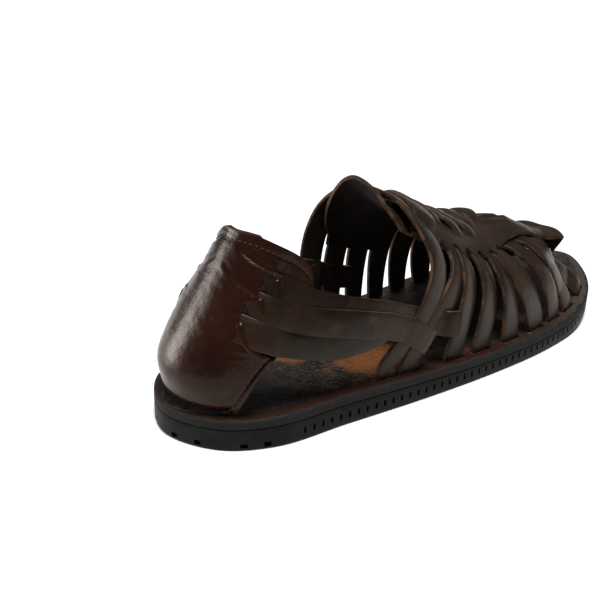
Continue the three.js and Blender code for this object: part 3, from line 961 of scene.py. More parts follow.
@dataclass(frozen=True)
class FootbedLeather:
    """Pebbled footbed leather: black-brown with an orange-brown patina, a painted grey reflection
    and a rim band darkened as painted shade.
    """

    name: str = "footbed_leather"

    def make(self) -> bpy.types.Material:
        """Builds the material."""
        s = Shader(self.name)
        wear = s.attribute("patina")
        pebbles = s.cells(1.5, feature="SMOOTH_F1")
        cracks = s.noise(1.0, 5.0, 0.7, s.place((0.25, 0.55, 0.5)))
        blotch = s.noise(7.0, 5.0, 0.65)
        share = (wear + (blotch - 0.5) * 0.9 + (cracks - 0.5) * 0.8).ramp(0.34, 0.78)
        black = s.blend(blotch.ramp(0.42, 0.62), (0.008, 0.006, 0.0045), (0.027, 0.019, 0.0135))
        colour = s.blend(share, black, (0.12, 0.042, 0.012))
        # painted shade: the rim band takes the orange-brown leather darkened to dark red-brown
        ledge_shade = s.attribute("ledge")
        colour = s.blend(ledge_shade * 0.9, colour, (0.026, 0.008, 0.0045))
        # painted reflection: grey painted into the colour toward the toe end of the rim band
        grey = s.attribute("sheen")
        colour = s.blend(grey * 0.8, colour, (0.055, 0.041, 0.034))
        edge = s.attribute("edge")
        colour = s.blend(edge, colour, (0.007, 0.0075, 0.0065))
        rough = 0.38 + (blotch - 0.5) * 0.35 + edge * 0.5
        relief = (pebbles * 0.6 + cracks * 0.9) * (1.0 - 0.8 * (ledge_shade + grey + edge).clamp())
        normal = s.bump(relief, 0.9)
        normal = s.bump(s.noise(2.4, 3.0), 0.35, normal)
        return s.finish(colour, rough, normal, {"Specular IOR Level": 0.3})


@dataclass(frozen=True)
class SoleRubber:
    """Matt black sole rubber, a little dusty, with fine and broad bumps in its surface."""

    name: str = "sole_rubber"

    def make(self) -> bpy.types.Material:
        """Builds the material."""
        s = Shader(self.name)
        dust = s.noise(16.0, 5.0, 0.65)
        colour = s.blend(dust.ramp(0.4, 0.72) * 0.6, (0.007, 0.008, 0.0065), (0.017, 0.019, 0.015))
        specks = s.noise(1.3, 2.0).ramp(0.68, 0.76) * 0.5
        colour = s.blend(specks, colour, (0.05, 0.053, 0.047))
        rough = 0.5 + (dust - 0.5) * 0.4
        normal = s.bump(s.noise(0.8, 3.0), 0.08)
        normal = s.bump(s.noise(30.0, 2.0), 0.6, normal)
        return s.finish(colour, rough, normal, {"Specular IOR Level": 0.07})


@dataclass(frozen=True)
class Thread:
    """Waxed sewing thread."""

    name: str
    colour: tuple[float, float, float]

    def make(self) -> bpy.types.Material:
        """Builds the material."""
        s = Shader(self.name)
        twist = s.noise(0.6, 2.0)
        darker = tuple(0.5 * c for c in self.colour)
        return s.finish(s.blend(twist, darker, self.colour), 0.6, s.bump(twist, 0.1), {})


@dataclass
class Wardrobe:
    """All finishes of the sandal."""

    strap: bpy.types.Material = field(init=False)
    cup: bpy.types.Material = field(init=False)
    strap_cut: bpy.types.Material = field(init=False)
    back_cut: bpy.types.Material = field(init=False)
    flesh: bpy.types.Material = field(init=False)
    cup_cut: bpy.types.Material = field(init=False)
    suede: bpy.types.Material = field(init=False)
    footbed: bpy.types.Material = field(init=False)
    rubber: bpy.types.Material = field(init=False)
    thread: bpy.types.Material = field(init=False)

    def __post_init__(self) -> None:
        """Builds each material once."""
        self.strap = OiledLeather(
            "strap_leather", (0.0075, 0.004, 0.0025), (0.031, 0.017, 0.0105), (0.062, 0.037, 0.024)
        ).make()
        self.cup = OiledLeather(
            "cup_leather", (0.008, 0.0024, 0.0016), (0.024, 0.0066, 0.0036), (0.036, 0.013, 0.007),
            rough=0.27, grain=0.7, depth=0.03, shine=0.19, folds=(0.12, 0.5), creased=4.0,
        ).make()
        self.strap_cut = CutEdge(
            "strap_cut_edge", (0.2, 0.092, 0.036), (0.016, 0.009, 0.006), dyed=0.82
        ).make()
        self.back_cut = CutEdge(
            "back_strap_cut_edge", (0.15, 0.088, 0.048), (0.03, 0.019, 0.012), dyed=0.3
        ).make()
        self.flesh = FleshSide("strap_flesh_side").make()
        self.cup_cut = CutEdge(
            "cup_folded_edge", (0.1, 0.045, 0.02), (0.022, 0.009, 0.006), dyed=1.0
        ).make()
        self.suede = Suede().make()
        self.footbed = FootbedLeather().make()
        self.rubber = SoleRubber().make()
        self.thread = Thread("cup_thread", (0.035, 0.02, 0.014)).make()

    def dress(self, item: bpy.types.Object, *materials: bpy.types.Material) -> None:
        """Gives a piece its materials in slot order, keeping its faces' slots."""
        slots = np.empty(len(item.data.polygons), dtype=np.int32)
        item.data.polygons.foreach_get("material_index", slots)
        item.data.materials.clear()
        for material in materials:
            item.data.materials.append(material)
        item.data.polygons.foreach_set("material_index", slots)


@dataclass(frozen=True)
class Repeat:
    """Geometry Nodes tree that sets copies of a small form along paths."""

    name: str
    material: bpy.types.Material
    labels: tuple[str, ...] = ("Pitch", "Length", "Breadth", "Height")

    def tree(self, cutter: bool) -> bpy.types.NodeTree:
        """Builds the tree.

        Args:
            cutter: True to cut the copies out of a body, False to keep them as they are.

        Returns:
            The node tree, with inputs Path, Pitch, Length, Breadth and Height.
        """
        tree = bpy.data.node_groups.new(self.name, "GeometryNodeTree")
        face = tree.interface
        face.new_socket("Geometry", in_out="INPUT", socket_type="NodeSocketGeometry")
        face.new_socket("Path", in_out="INPUT", socket_type="NodeSocketObject")
        for label in self.labels:
            face.new_socket(label, in_out="INPUT", socket_type="NodeSocketFloat")
        face.new_socket("Geometry", in_out="OUTPUT", socket_type="NodeSocketGeometry")
        make, join = tree.nodes.new, tree.links.new
        start, end = make("NodeGroupInput"), make("NodeGroupOutput")
        path = make("GeometryNodeObjectInfo")
        join(start.outputs["Path"], path.inputs["Object"])
        curve = make("GeometryNodeMeshToCurve")
        join(path.outputs["Geometry"], curve.inputs["Mesh"])
        evenly = make("GeometryNodeResampleCurve")
        evenly.mode = "LENGTH"
        join(curve.outputs[0], evenly.inputs["Curve"])
        join(start.outputs["Pitch"], evenly.inputs["Length"])
        size = make("ShaderNodeCombineXYZ")
        for axis, label in enumerate(self.labels[1:]):
            join(start.outputs[label], size.inputs[axis])
        turn = make("FunctionNodeAlignRotationToVector")
        turn.axis = "X"
        turn.pivot_axis = "AUTO"
        tangent = make("GeometryNodeInputTangent")
        join(tangent.outputs[0], turn.inputs["Vector"])
        place = make("GeometryNodeInstanceOnPoints")
        join(evenly.outputs[0], place.inputs["Points"])
        join(turn.outputs[0], place.inputs["Rotation"])
        real = make("GeometryNodeRealizeInstances")
        join(place.outputs[0], real.inputs[0])
        dress = make("GeometryNodeSetMaterial")
        dress.inputs["Material"].default_value = self.material
        if cutter:
            form = make("GeometryNodeMeshCube")
            join(size.outputs[0], form.inputs["Size"])
            join(form.outputs[0], place.inputs["Instance"])
            cut = make("GeometryNodeMeshBoolean")
            cut.operation = "DIFFERENCE"
            cut.solver = "EXACT"
            cut.inputs["Self Intersection"].default_value = True
            join(start.outputs["Geometry"], cut.inputs[0])
            join(real.outputs[0], cut.inputs[1])
            join(cut.outputs[0], dress.inputs["Geometry"])
        else:
            form = make("GeometryNodeMeshIcoSphere")
            form.inputs["Radius"].default_value = 0.5
            form.inputs["Subdivisions"].default_value = 2
            join(form.outputs[0], place.inputs["Instance"])
            join(size.outputs[0], place.inputs["Scale"])
            shade = make("GeometryNodeSetShadeSmooth")
            join(real.outputs[0], shade.inputs[0])
            join(shade.outputs[0], dress.inputs["Geometry"])
        join(dress.outputs[0], end.inputs[0])
        return tree

    def apply(
        self,
        name: str,
        body: bpy.types.Object | None,
        lines: Sequence[Array],
        sizes: dict[str, float],
        sharp: float = 50.0,
    ) -> bpy.types.Object:
        """Runs the tree and keeps its result as a plain piece.

        Args:
            name: name of the piece.
            body: object to cut, or None to keep the copies alone.
            lines: paths in millimetres.
            sizes: Pitch, Length, Breadth and Height in millimetres.
            sharp: angle in degrees above which an edge is sharp.

        Returns:
            The finished object.
        """
        path = bpy.data.objects.new(name + "_path", bpy.data.meshes.new(name + "_path"))
        points: list[list[float]] = []
        edges: list[tuple[int, int]] = []
        for line in lines:
            first = len(points)
            points += (line * MM).tolist()
            edges += [(first + i, first + i + 1) for i in range(len(line) - 1)]
        path.data.from_pydata(points, edges, [])
        bpy.context.collection.objects.link(path)
        if body is None:
            body = bpy.data.objects.new(name, bpy.data.meshes.new(name))
            bpy.context.collection.objects.link(body)
        step = body.modifiers.new("repeat", "NODES")
        step.node_group = self.tree(cutter=len(body.data.polygons) > 0)
        keys = {
            item.name: item.identifier
            for item in step.node_group.interface.items_tree
            if item.item_type == "SOCKET" and item.in_out == "INPUT"
        }
        step[keys["Path"]] = path
        for label, value in sizes.items():
            step[keys[label]] = value * MM
        body.name = name
        item = modified(body, sharp)
        item.data.materials.clear()
        item.data.materials.append(self.material)
        plain = np.zeros(len(item.data.polygons), dtype=np.int32)
        item.data.polygons.foreach_set("material_index", plain)
        bpy.data.objects.remove(path, do_unlink=True)
        return item


@dataclass(frozen=True)
class Patch:
    """Rubbed patch of the footbed: its middle, its half sizes and how much lighter it is."""

    x: float
    y: float
    length: float
    breadth: float
    much: float


@dataclass
class Sole:
    """Rubber outsole and leather footbed."""

    last: Last
    finishes: Wardrobe
    stations: int = 210
    columns: int = 44
    slot_pitch: float = 5.0
    slot: tuple[float, float, float] = (1.3, 3.2, 3.2)
    slot_middle: float = 5.0
    slot_row: tuple[float, float] = (0.105, 0.895)
    notch: tuple[float, float, float] = (2.2, 4.4, 2.4)
    notch_middle: float = 2.4
    notch_pitch: float = 50.0
    notches: tuple[float, ...] = (0.012, 0.03, 0.062, 0.078, 0.925, 0.955, 0.985)
    patches: tuple[Patch, ...] = (
        Patch(-42, -26, 18, 10, 0.9), Patch(-66, -18, 14, 5, 0.35), Patch(-92, -18, 16, 6, -0.3),
    )

    def ring(self) -> tuple[Array, Array]:
        """Rim points round from the heel over the outer side, and their outward normals."""
        angle = np.linspace(0, np.pi, self.stations + 1)
        x = -np.cos(angle) * self.last.length / 2 * 0.99999
        outer = np.stack([x, self.last.edge(x, Side.OUTER)], axis=1)
        inner = np.stack([x, self.last.edge(x, Side.INNER)], axis=1)
        heel = (outer[0] + inner[0]) / 2
        toe = (outer[-1] + inner[-1]) / 2
        points = np.vstack([heel, outer[1:-1], toe, inner[1:-1][::-1]])
        step = np.roll(points, -1, axis=0) - np.roll(points, 1, axis=0)
        normal = unit(np.stack([step[:, 1], -step[:, 0]], axis=1))
        return points, normal

    def plate(
        self,
        name: str,
        top: Callable[[Array, Array], Array],
        bottom: Callable[[Array, Array], Array],
        rows: Sequence[tuple[float, float, float]],
        marks: Callable[[Array], dict[str, Array]] | None = None,
    ) -> bpy.types.Object:
        """Builds a plate with the sole's outline.

        Args:
            name: name of the piece.
            top: height of its upper face.
            bottom: height of its lower face.
            rows: edge rows from top to bottom: inset, drop below the top, rise over the bottom.
            marks: attributes of the points, from their places.

        Returns:
            The object, without a material.
        """
        rim, normal = self.ring()
        half = self.stations
        levels = []
        for inset, drop, rise in rows:
            p = rim - normal * inset
            high, low = top(p[:, 0], p[:, 1]), bottom(p[:, 0], p[:, 1])
            z = high - drop if rise < 0 else low + rise
            levels.append(np.column_stack([p, z]))
        grids = []
        for level, height in ((levels[0], top), (levels[-1], bottom)):
            outer = level[: half + 1]
            inner = np.vstack([level[:1], level[half:][::-1]])
            t = np.linspace(0, 1, self.columns + 1)[None, :, None]
            flat = outer[:, None, :2] * (1 - t) + inner[:, None, :2] * t
            z = height(flat[..., 0], flat[..., 1])
            first = rows[0][1] if height is top else 0.0
            grids.append(np.concatenate([flat, (z - first)[..., None]], axis=-1).reshape(-1, 3))
        n = self.columns + 1
        quads = [
            (r * n + c, (r + 1) * n + c, (r + 1) * n + c + 1, r * n + c + 1)
            for r in range(half)
            for c in range(self.columns)
        ]
        work = bmesh.new()
        stack = [grids[0], grids[1], np.vstack(levels)]
        sets = [quads, [q[::-1] for q in quads], ring_faces(len(levels), len(rim), cap=False)]
        side = work.verts.layers.float.new("edge")
        for points, faces, mark in zip(stack, sets, (0.0, 0.0, 1.0)):
            made = [work.verts.new(p * MM) for p in points]
            for vertex in made:
                vertex[side] = mark
            for f in faces:
                corners = [made[i] for i in f]
                if len({tuple(np.round(v.co, 8)) for v in corners}) > 2:
                    work.faces.new(corners)
        bmesh.ops.remove_doubles(work, verts=work.verts, dist=2e-6)
        bmesh.ops.dissolve_degenerate(work, edges=work.edges, dist=1e-7)
        mesh = bpy.data.meshes.new(name)
        work.to_mesh(mesh)
        work.free()
        item = finish_mesh(name, mesh, 60.0)
        if marks is not None:
            place = np.empty(len(item.data.vertices) * 3)
            item.data.vertices.foreach_get("co", place)
            for key, values in marks(place.reshape(-1, 3) / MM).items():
                layer = item.data.attributes.get(key) or item.data.attributes.new(
                    key, "FLOAT", "POINT"
                )
                layer.data.foreach_set("value", values)
        LOG.info("%s: %d faces", name, len(item.data.polygons))
        return item

    def rubber(self) -> bpy.types.Object:
        """Builds the outsole with its slots and heel notches."""
        last = self.last

        def top(x: Array, y: Array) -> Array:
            """Upper face of the rubber."""
            return last.rubber_top(x)

        def bottom(x: Array, y: Array) -> Array:
            """Underside of the rubber."""
            return last.floor(x)

        rows = [(0.35, 0.0, -1), (0.1, 0.1, -1), (0.0, 0.35, -1), (0.0, 2.6, -1), (0.0, 0, 4.6)]
        rows += [(0.0, 0, 1.6), (0.2, 0, 0.6), (0.7, 0, 0.12), (1.3, 0, 0.0)]
        body = self.plate("rubber_body", top, bottom, rows)
        line = last.rim(1200)
        low, high = (int(s * len(line)) for s in self.slot_row)
        row = line[low:high]
        row = np.column_stack([row, last.floor(row[:, 0]) + self.slot_middle])
        cut = Repeat("side_slots", self.finishes.rubber)
        sizes = dict(zip(cut.labels, (self.slot_pitch, *self.slot)))
        body = cut.apply("slotted_body", body, [row], sizes, 40.0)
        marks = []
        for share in self.notches:
            i = int(share * len(line))
            near = line[[i - 1, i + 1]]
            marks.append(np.column_stack([near, [self.notch_middle] * 2]))
        sizes = dict(zip(cut.labels, (self.notch_pitch, *self.notch)))
        return cut.apply("rubber_outsole", body, marks, sizes, 40.0)

    def wear(self, place: Array) -> dict[str, Array]:
        """Patina of the footbed by place, with painted shade and a painted reflection on its rim
        band.

        Args:
            place: points in millimetres.

        Returns:
            Attributes patina, ledge and sheen; ledge darkens the rim band as painted shade and sheen
            paints a grey reflection.
        """
        x, y = place[:, 0], place[:, 1]
        outer = y - self.last.edge(x, Side.OUTER)
        inner = self.last.edge(x, Side.INNER) - y
        patina = smooth((y + 0.5 * (x + 90) + 4) / 16) * smooth((x + 140) / 25)
        patina *= 0.85 - 0.55 * smooth((x + 36) / 30)
        patina += 0.3 * np.exp(-(((outer - 11) / 4) ** 2)) * smooth((30 - x) / 40)
        for patch in self.patches:
            away = ((x - patch.x) / patch.length) ** 2 + ((y - patch.y) / patch.breadth) ** 2
            patina += patch.much * np.exp(-away)
        # rim band, darkened as painted shade in the material; toward the toe it carries a painted
        # grey reflection
        ledge = smooth((9.5 - np.minimum(outer, inner)) / 2.5)
        sheen = ledge * smooth((x - 20) / 60) * (0.35 + 0.65 * smooth((x - 70) / 40))
        return {"patina": np.clip(patina, 0, 1), "ledge": ledge, "sheen": sheen}

    def footbed(self, feet: bpy.types.Object) -> bpy.types.Object:
        """Builds the leather footbed with a slit at each strap's foot.

        Args:
            feet: form of the slits.

        Returns:
            The footbed.
        """
        last = self.last

        def bottom(x: Array, y: Array) -> Array:
            """Underside of the footbed."""
            return last.rubber_top(x) + last.seat

        rows = [(1.4, 0.0, -1), (0.6, 0.2, -1), (0.12, 0.7, -1), (0.0, 1.4, -1), (0.0, 0, 0.6)]
        rows += [(0.1, 0, 0.1), (0.35, 0, 0.0)]
        body = self.plate("footbed_body", last.footbed, bottom, rows, self.wear)
        cut = body.modifiers.new("slits", "BOOLEAN")
        cut.operation = "DIFFERENCE"
        cut.solver = "EXACT"
        cut.object = feet
        body.name = "leather_footbed"
        item = modified(body, 50.0)
        bpy.data.objects.remove(feet, do_unlink=True)
        return item

    def build(self, feet: bpy.types.Object) -> list[bpy.types.Object]:
        """Makes and dresses both pieces.

        Args:
            feet: form of the slits in the footbed.

        Returns:
            The two pieces.
        """
        rubber = self.rubber()
        self.finishes.dress(rubber, self.finishes.rubber)
        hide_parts("outsole")
        footbed = self.footbed(feet)
        self.finishes.dress(footbed, self.finishes.footbed)
        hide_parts("insole")
        return [rubber, footbed]


@dataclass(frozen=True)
class Lace:
    """One pair of side straps: stations of slit, middle and foot on each side.

    A leaf is the place on the near side of the spine, as station and turn, that the inner strap
    reaches over the crown before it ends in a point.
    """

    slit: float
    middle: float
    foot: float
    inner_middle: float
    inner_foot: float
    collar: bool = False
    leaf: tuple[float, float] | None = None
    broad: float = 1.0
    arch: float = 0.0


@dataclass(frozen=True)
class BackStrap:
    """One pair of back straps: rows of station, rise and lift, from the cup forward."""

    path: tuple[tuple[float, float, float], ...]
    skew: tuple[float, float] = (0.0, 0.0)


@dataclass
class Upper:
    """Woven upper: side straps, back straps, spine with toe piece and instep strap."""

    last: Last
    finishes: Wardrobe
    spine_width: float = 36.0
    toe_drop: float = 10.5
    collar_top: float = 0.45
    tucked: float = 7.0
    foot_turn: float = 0.012
    foot_depth: float = 3.2
    belly: float = 1.2
    over_spine: float = 3.9
    under_spine: float = 3.4
    toe_start: float = 0.745
    toe_blend: float = 0.12
    spine_span: tuple[float, float] = (0.465, 0.904)
    spine_size: tuple[float, float] = (127.0, 40.0)
    plait: tuple[float, float, float] = (0.48, 0.66, 1.7)
    plait_start: float = 0.523
    plait_pitch: float = 0.0345
    toe_corner: float = 3.5
    instep_span: tuple[float, float] = (0.315, 0.74)
    laces: tuple[Lace, ...] = (
        Lace(0.43, 0.515, 0.335, 0.35, 0.35, collar=True),
        Lace(0.505, 0.565, 0.392, 0.4, 0.405, broad=1.0, arch=1.0),
        Lace(0.541, 0.555, 0.49, 0.455, 0.47, leaf=(0.54, 0.37), broad=1.06, arch=1.2),
        Lace(0.58, 0.6, 0.555, 0.52, 0.54, leaf=(0.58, 0.34), broad=1.12, arch=1.6),
        Lace(0.622, 0.64, 0.63, 0.58, 0.61, leaf=(0.624, 0.36), broad=1.2, arch=2.0),
        Lace(0.646, 0.67, 0.703, 0.645, 0.685, leaf=(0.658, 0.43), broad=1.28, arch=3.0),
        Lace(0.692, 0.742, 0.762, 0.71, 0.76, leaf=(0.69, 0.47), broad=1.0, arch=3.2),
        Lace(0.727, 0.796, 0.817, 0.79, 0.835, broad=1.15),
        Lace(0.79, 0.838, 0.887, 0.85, 0.9, broad=1.2),
    )
    back: tuple[BackStrap, ...] = (
        BackStrap((
            (0.134, 0.757, -0.9), (0.14, 0.745, -0.5), (0.147, 0.731, 0.1), (0.158, 0.708, 0.9),
            (0.178, 0.662, 1.5), (0.205, 0.6, 1.8), (0.27, 0.51, 1.8), (0.332, 0.435, 1.6),
            (0.385, 0.355, 0.6), (0.42, 0.305, 0.2), (0.45, 0.265, 0.8), (0.47, 0.245, 3.4),
            (0.487, 0.232, 4.0),
        ), (0.34, 0.0)),
        BackStrap((
            (0.104, 0.668, -0.9), (0.11, 0.657, -0.5), (0.1175, 0.643, 0.1), (0.129, 0.62, 1.1),
            (0.149, 0.579, 2.2), (0.18, 0.53, 3.4), (0.21, 0.493, 4.2), (0.255, 0.448, 4.5),
            (0.31, 0.397, 4.5), (0.35, 0.34, 4.5), (0.385, 0.27, 5.0), (0.405, 0.215, 4.8),
            (0.418, 0.178, 4.0),
        ), (0.4, 0.0)),
        BackStrap((
            (0.076, 0.556, -0.9), (0.082, 0.544, -0.5), (0.0885, 0.531, 0.1), (0.1, 0.507, 0.9),
            (0.12, 0.467, 1.6), (0.15, 0.42, 2.0), (0.205, 0.352, 2.0), (0.25, 0.322, 1.8),
            (0.3, 0.322, 1.6), (0.34, 0.348, 1.4), (0.372, 0.383, 1.0),
        ), (0.42, 0.0)),
    )
    outer_reach: Profile = Profile(
        (0.46, 0.5), (0.6, 0.56), (0.66, 0.48), (0.7, 0.4), (0.74, 0.36), (0.8, 0.345),
        (0.83, 0.35), (0.86, 0.38), (0.885, 0.39), (0.905, 0.36),
    )
    inner_reach: Profile = Profile(
        (0.46, 0.2), (0.6, 0.16), (0.67, 0.2), (0.71, 0.45), (0.75, 0.7), (0.79, 0.86), (0.9, 0.92)
    )
    set_back: Profile = Profile(
        (0.2, 0.07), (0.25, 0.036), (0.3, 0.02), (0.37, 0.01), (0.5, 0.0), (0.62, 0.004), (0.8, 0.02)
    )
    instep_line: Profile = Profile(
        (0.26, 0.445), (0.32, 0.455), (0.4, 0.472), (0.5, 0.484), (0.6, 0.472), (0.74, 0.43)
    )

    collar_line: Profile = Profile(
        (0.0, 0.33), (0.04, 0.37), (0.09, 0.412), (0.13, 0.431), (0.2, 0.451), (0.25, 0.455),
        (0.3, 0.45), (0.36, 0.442), (0.43, 0.443), (0.5, 0.45),
    )

    def turn(self, along: Array, distance: Array) -> Array:
        """Share of the way round the vamp at a distance from its crown."""
        return 0.5 + distance / self.last.girth(along)

    def side_route(self, lace: Lace, side: Side) -> tuple[Array, Array, Array]:
        """Route of a side strap from below the footbed up to the spine.

        Args:
            lace: the strap.
            side: side of the shoe.

        Returns:
            Points, normals and width shares.
        """
        outer = side is Side.OUTER
        foot = lace.foot if outer else lace.inner_foot
        middle = lace.middle if outer else lace.inner_middle
        low = self.foot_turn if outer else 1 - self.foot_turn
        t = np.linspace(0, 1, 40)
        if lace.leaf is not None and not outer:
            slit, top = lace.leaf
        else:
            slit = lace.slit
            reach = self.outer_reach(slit) if outer else self.inner_reach(slit)
            top = self.turn(slit, side.value * (reach * self.spine_width - self.tucked))
        if lace.collar:
            top, slit = 0.5, self.collar_top
        along = foot * (1 - t) ** 2 + middle * 2 * t * (1 - t) + slit * t * t
        turn = mix(low, top, t**0.9)
        if lace.collar and outer:
            along = self.collar_line(turn)
        belly = self.belly * np.sin(np.pi * np.clip(t / 0.9, 0, 1)) ** 2
        if lace.collar:
            lift = 2.2 * smooth(t * 3)
            share = through(t, (0, 0.96), (0.12, 1.0), (0.5, 1.08), (0.8, 0.95), (1, 0.9))
        elif lace.leaf is not None and not outer:
            sink = smooth((t - 0.86) / 0.14)
            lift = self.over_spine * smooth((0.68 - turn) / 0.12) * (1 - sink) - 0.4 * sink
            lift = lift + lace.arch * np.exp(-(((turn - 0.6) / 0.07) ** 2))
            share = through(t, (0, 0.96), (0.3, 1.0), (0.6, 1.0), (0.84, 0.95), (1, 0.3))
        else:
            lift = -self.under_spine * smooth((t - 0.76) / 0.24)
            share = through(t, (0, 0.96), (0.12, 1.0), (0.5, 1.04), (0.76, 0.95), (1, 0.8))
        broad = through(t, (0, 0.5), (0.15, 1.0), (0.55, 1.0), (0.85, 0.2))
        broad = 1 + (lace.broad - 1) * broad
        low_toe = through(t, (0, 0.0), (0.15, 0.6), (0.45, 1.0), (0.75, 0.5), (0.95, 0.1))
        low_toe = low_toe * smooth((along - self.toe_start) / self.toe_blend)
        lift = lift + belly - self.toe_drop * low_toe
        points, normal = self.last.vamp_offset(along, turn, lift)
        # the foot goes straight down into its slit
        down = points[0].copy()
        down[2] = self.last.footbed(down[0], down[1]) - self.foot_depth
        points = np.vstack([down, points])
        normal = np.vstack([normal[0], normal])
        share = share * (broad if outer else np.minimum(broad, 1.2))
        return points, normal, np.concatenate([share[:1], share])

    def feet(self) -> bpy.types.Object:
        """Form of the slits that the strap feet go down through."""
        soup = Soup()
        cutter = Strap(width=12.6, thick=2.9, crown=0.0, camber=0.0, stations=3)
        for side in Side:
            for lace in self.laces:
                points, normal, width = self.side_route(lace, side)
                foot = points[1]
                line = np.array([foot - (0, 0, 12.0), foot, foot + (0, 0, 6.0)])
                cutter.sweep(soup, line, np.repeat(normal[1:2], 3, axis=0), float(width[0]))
        return soup.build("strap_feet")

    def side_straps(self, side: Side) -> bpy.types.Object:
        """Builds the side straps of one side."""
        soup = Soup()
        rng = np.random.default_rng(7 + side.value)
        for lace in self.laces:
            points, normal, width = self.side_route(lace, side)
            share = np.linspace(0, 1, len(points))
            lean = 0.2 + rng.uniform(-0.06, 0.1)
            roll = side.value * lean * np.sin(np.pi * share**0.8) ** 0.7
            Strap().sweep(soup, points, normal, width, roll, float(rng.uniform(0.3, 0.8)))
        return soup.build(f"{side.name.lower()}_side_straps")

    def back_straps(self, side: Side) -> bpy.types.Object:
        """Builds the three back straps of one side."""
        soup = Soup()
        strap = Strap(width=12.5, stations=90)
        rng = np.random.default_rng(21 + side.value)
        surface = partial(self.last.wall, side=side)
        for item in self.back:
            rows = spline(item.path, 60)
            points, normal = offset_point(surface, rows[:, 0], rows[:, 1], 0.0)
            normal = normal * np.where(normal[:, 1:2] * side.value < 0, -1, 1)
            points = points + normal * rows[:, 2:3]
            tone = float(rng.uniform(0.0, 0.25))
            skew = (-side.value * item.skew[0], item.skew[1])
            strap.sweep(soup, points, normal, 1.0, 0.0, tone, skew)
        return soup.build(f"{side.name.lower()}_back_straps")

    def spine(self) -> bpy.types.Object:
        """Builds the spine that widens into the toe piece."""
        folds = (
            Crease((0.58, 0.55), (0.76, 0.4), 1.1, 1.6),
            Crease((0.62, 0.78), (0.8, 0.66), 1.0, 1.5),
            Crease((0.66, 0.3), (0.8, 0.42), 0.8, 1.3),
            Crease((0.58, 0.42), (0.7, 0.26), 0.9, 1.3),
            Crease((0.7, 0.6), (0.84, 0.52), 0.6, 1.6),
            Crease((0.84, 0.3), (0.93, 0.36), 0.5, 1.5),
        )
        rise = Profile(
            (0.0, 2.3), (0.5, 2.3), (0.6, 3.4), (0.72, 2.0), (0.8, -0.4), (0.864, -2.8),
            (0.91, -1.8), (0.95, 0.0), (0.975, -1.6), (1.0, -7.5),
        )

        def surface(u: Array, v: Array, depth: float) -> Array:
            """Sheet over shares of the length and the breadth, at a depth."""
            base = mix(*self.spine_span, u)
            first, last, depth_of_wave = self.plait
            phase = (base - self.plait_start) / self.plait_pitch
            wave = depth_of_wave * np.cos(2 * np.pi * phase)
            wave = np.where((base > first) & (base < last), wave, 0.0)
            outer = self.outer_reach(base) * self.spine_width - wave
            inner = self.inner_reach(base) * self.spine_width
            turn = self.turn(base, mix(-outer, inner, v))
            along = base - self.set_back(turn) * smooth((u - 0.72) / 0.28)
            lift = rise(u) + sum(fold.at(u, v, self.spine_size) for fold in folds)
            corner = smooth((u - 0.76) / 0.14) * smooth((0.3 - v) / 0.26)
            lift = lift + self.toe_corner * corner * (1 - smooth((u - 0.95) / 0.05))
            return self.last.vamp_offset(along, turn, lift - depth)[0]

        sheet = Sheet(rows=170, columns=56, thick=2.2)
        return modified(sheet.lay("spine_and_toe_piece", surface, self.spine_size, 0.6))

    def instep_strap(self) -> bpy.types.Object:
        """Builds the strap that crosses the instep in front of the tongue."""
        soup = Soup()
        t = np.linspace(0, 1, 40)
        turn = mix(*self.instep_span, t)
        along = self.instep_line(turn)
        outer_end, inner_end = smooth((0.39 - turn) / 0.07), smooth((turn - 0.66) / 0.07)
        lift = self.over_spine - 4.4 * outer_end - self.under_spine * inner_end
        points, normal = self.last.vamp_offset(along, turn, lift)
        Strap(width=14.5).sweep(soup, points, normal, 1.0, 0.0, 0.65)
        return soup.build("instep_strap")

    def build(self) -> list[bpy.types.Object]:
        """Makes and dresses every piece of the upper."""
        pieces = [self.side_straps(side) for side in Side]
        pieces += [self.back_straps(side) for side in Side]
        pieces += [self.spine(), self.instep_strap()]
        for item in pieces:
            back = "back_straps" in item.name
            cut = self.finishes.back_cut if back else self.finishes.strap_cut
            self.finishes.dress(item, self.finishes.strap, cut, self.finishes.flesh)
            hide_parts("upper")
        return pieces


@dataclass(frozen=True)
class Slit:
    """Slit in the heel cup: its line in turn and height, and the step in the leather there.

    The lip is how far the leather behind the slit stands out, the dip how far it lies back in
    front, and each spread is how far from the slit that reaches.
    """

    line: tuple[tuple[float, float], ...]
    lip: float = 1.7
    dip: float = 1.5
    lip_spread: float = 6.0
    dip_spread: float = 5.0
    fade: float = 1.6


